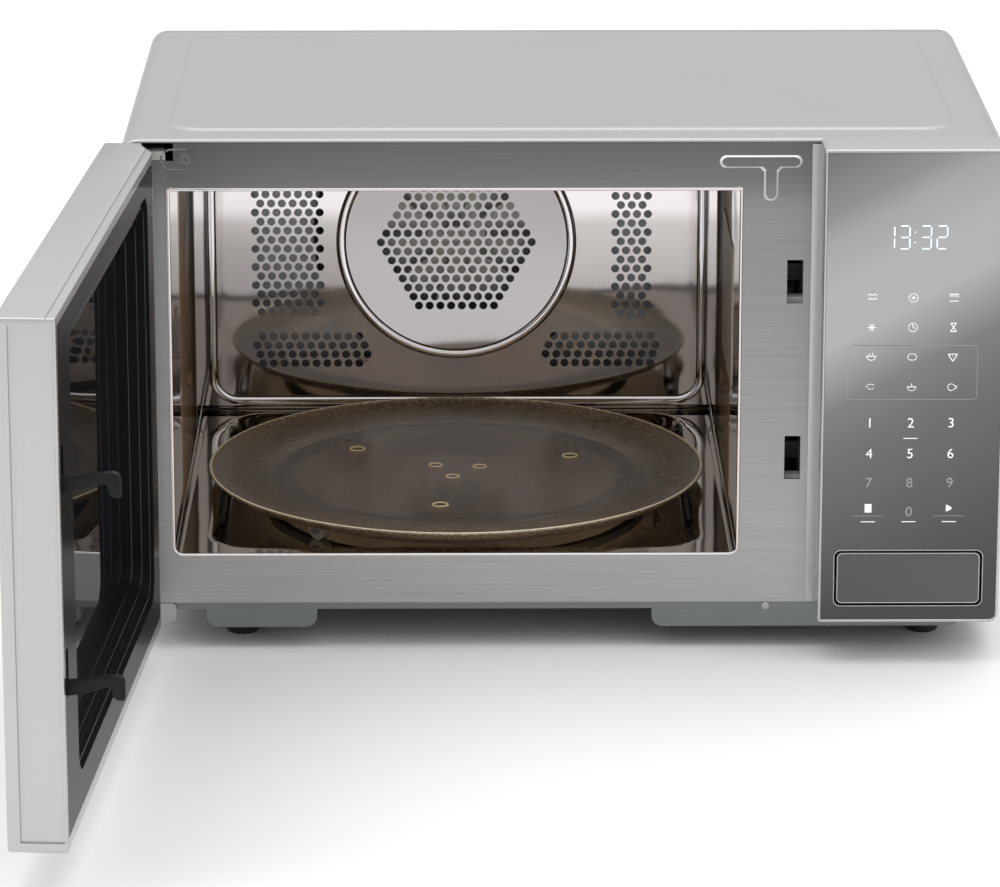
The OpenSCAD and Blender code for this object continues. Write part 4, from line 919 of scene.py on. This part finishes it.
levels = [(-0.030, -0.266, 0.147, 0.038, 0.320, 0.004), (-0.0346, -0.266, 0.147, 0.038, 0.320, 0.004),
    (-0.035, -0.2664, 0.1474, 0.0376, 0.3204, 0.004)]
for angle in quarter:
    t = 0.0013 * (1 - np.sin(angle))
    y = -0.035 + 0.0013 * (1 - np.cos(angle))
    levels.append((y, door_left + t, door_right - t, door_low + t, door_high - t, 0.0015))
levels += [(y, door_left, door_right, door_low, top, 0.0012) for y, top in (
    (-0.0277, door_high), (-0.0273, door_high), (-0.0115, door_high))]
levels += [(-0.0115, -0.272, door_right, door_low, door_high, 0.0012),
    (-0.0071, -0.262, door_right, door_low, door_high, 0.0012),
    (-0.0070, -0.2618, door_right, door_low, door_high - 0.0006, 0.0012),
    (-0.0066, -0.2609, door_right, door_low, door_high - 0.0006, 0.0012),
    (-0.0065, -0.2607, door_right, door_low, door_high, 0.0012),
    (-0.0033, -0.2535, door_right, door_low, door_high, 0.0012),
    (-0.0029, -0.2522, door_right, door_low, door_high, 0.0012)]
for angle in quarter[::-1]:
    t = 0.0007 * (1 - np.sin(angle))
    y = inner_face - 0.0007 * (1 - np.cos(angle))
    levels.append((y, -0.249 + t - (inner_face - y) * 2.3, door_right - t, door_low + t, door_high - t,
        0.0012))
levels += [(inner_face, -0.2466, 0.1523, 0.0349, 0.3258, 0.0008),
    (-0.004, -0.2466, 0.1523, 0.0349, 0.3258, 0.0008),
    (-0.0041, -0.2466, 0.1551, 0.0301, 0.3286, 0.001),
    (-0.0306, -0.2466, 0.1551, 0.0301, 0.3286, 0.001)]
shell = np.stack([np.insert(door_outline(*level[1:]), 1, level[0], axis=1) for level in levels])
x, y, z = np.moveaxis(shell, -1, 0)
channel = (x > door_right - 0.0001) & (y > -0.0275) & (y < -0.003) & (z > 0.0333) & (z < 0.3267)
shell[..., 0] -= 0.0017 * channel
shell_faces = round_faces(shell)
x, y, z = shell.reshape(-1, 3)[shell_faces].mean(1).T
arm_slot = (x < -0.244) & (y > -0.031) & (z > 0.3215) & (z < 0.3275)
piece("door_shell", hung_open(shell), [shell_faces[~arm_slot]], satin_silver, "bezel_silver", "door",
    ("door_frame",), 35)
coat(finish("dark_glass", (0.012, 0.013, 0.015), 0.04, 0.0, 60, 0.05, 0.0, 0.05), "door_outer_glass")

# ---- Door lining and window ----
# Charcoal moulded ring that steps down to the window, over a metal plate with a fine punched
# screen, which shows as dots behind the dark window sheet.
coat(finish("charcoal_plastic", (0.012, 0.012, 0.013), 0.22, 0.0, 1300, 0.10, 0.000006, 0.05, IOR=1.1),
    "choke_cover")
rib_black = finish("rib_black", (0.020, 0.020, 0.021), 0.10, 0.0, 900, 0.05, 0.0, 0.04)
window_steps = ((-0.0015, -0.222, 0.108, 0.055, 0.312), (-0.004, -0.2213, 0.1073, 0.059, 0.306),
    (-0.0065, -0.2206, 0.1066, 0.062, 0.300),
    (-0.009, -0.2199, 0.1059, 0.064, 0.296), (-0.012, -0.2192, 0.1052, 0.066, 0.293),
    (-0.015, -0.2185, 0.1045, 0.067, 0.290))
ribs = []
for y, x0, x1, z0, z1 in window_steps[1::2]:
    loop, out = rounded_loop(x0 - 0.0004, x1 + 0.0004, z0 - 0.0004, z1 + 0.0004, (0.0154,) * 4, 10)
    ribs.append(bead(loop, out, 0.0005, 0.0004, right, up, -ahead, 7) + np.array([0, y - 0.0001, 0]))
points, faces = joined([(rib, [round_faces(rib)]) for rib in ribs])
piece("choke_ribs", hung_open(points), faces, rib_black, "choke_plastic", "door", crease=60)
coat(finish("window_sheet", (0.008, 0.008, 0.009), 0.02, 0.0, 60, 0.05, 0.0, 0.05, 0.0003, IOR=1.28),
    "door_inner_glass")
screen = finish("door_screen", (0.05, 0.05, 0.052), 0.45, 0.5, 900, 0.2, 0.00002, 0.06)
coat(screen, "door_inner_plate")

# ---- Latch key and hooks ----
# One flat black moulding: a sliding bar inside the door with two hooks that reach out through
# slots in the lining. A spring pulls it down.
hook_black = finish("hook_black", 0.006, 0.42, 0.0, 1200, 0.12, 0.00001, 0.05, IOR=1.3)
tip = inner_face * 1000 + 32
hook = np.array([[-9, -4.2], [4, -4.2], [tip - 11, 1], [tip - 7.8, 1], [tip - 7.4, -3.5], [tip - 5, -6.7],
    [tip - 0.5, -6.7], [tip, -5.5],
    [tip, 4.5], [tip - 3, 7.8], [tip - 11, 7.2], [5, 4.4], [-9, 4.2]]) / 1000
for _ in range(2):
    ahead_of = np.roll(hook, -1, 0)
    hook = np.stack([0.78 * hook + 0.22 * ahead_of, 0.22 * hook + 0.78 * ahead_of], 1).reshape(-1, 2)


def turned_out(loop):
    """Outward direction at each point of an anticlockwise outline: its neighbours' chord, turned clockwise
    by a right angle."""
    chord = np.roll(loop, -1, 0) - np.roll(loop, 1, 0)
    return np.stack([chord[:, 1], -chord[:, 0]], -1) / np.hypot(*chord.T)[:, None]


bar_loop, bar_out = rounded_loop(-0.016, -0.008, 0.100, 0.258, (0.001,) * 4, 4)
parts = [slab(hook + (0, z), turned_out(hook), 0.1409, 0.1459, 0, 0.0007)
    for z in (0.1195, 0.235)] + [slab(bar_loop, bar_out, 0.1409, 0.1459, 0, 0.0005)]
points, faces = joined(parts)
piece("latch_hooks", hung_open(points), faces, hook_black, "hook_plastic", "latch", ("latch_key",), 40)

# ---- Springs, pins and screws ----
# Coiled steel wire and turned steel. The button's spring is squashed by the press; the latch's spring
# keeps its rest length, because it would have to stretch.
coat(finish("spring_steel", (0.40, 0.40, 0.41), 0.25, 1.0, 500, 0.06, 0.0, 0.05), "button_spring",
    "latch_spring", "hinge_pins", "screws")
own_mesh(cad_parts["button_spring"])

# ---- Hinges ----
# Stamped zinc-plated plates, one above and one below the door.
# They are screwed behind the front plate and hold the steel pins.
coat(finish("bright_zinc", (0.40, 0.40, 0.39), 0.24, 1.0, 400, 0.10, 0.00001, 0.10), "hinge_upper",
    "hinge_lower")
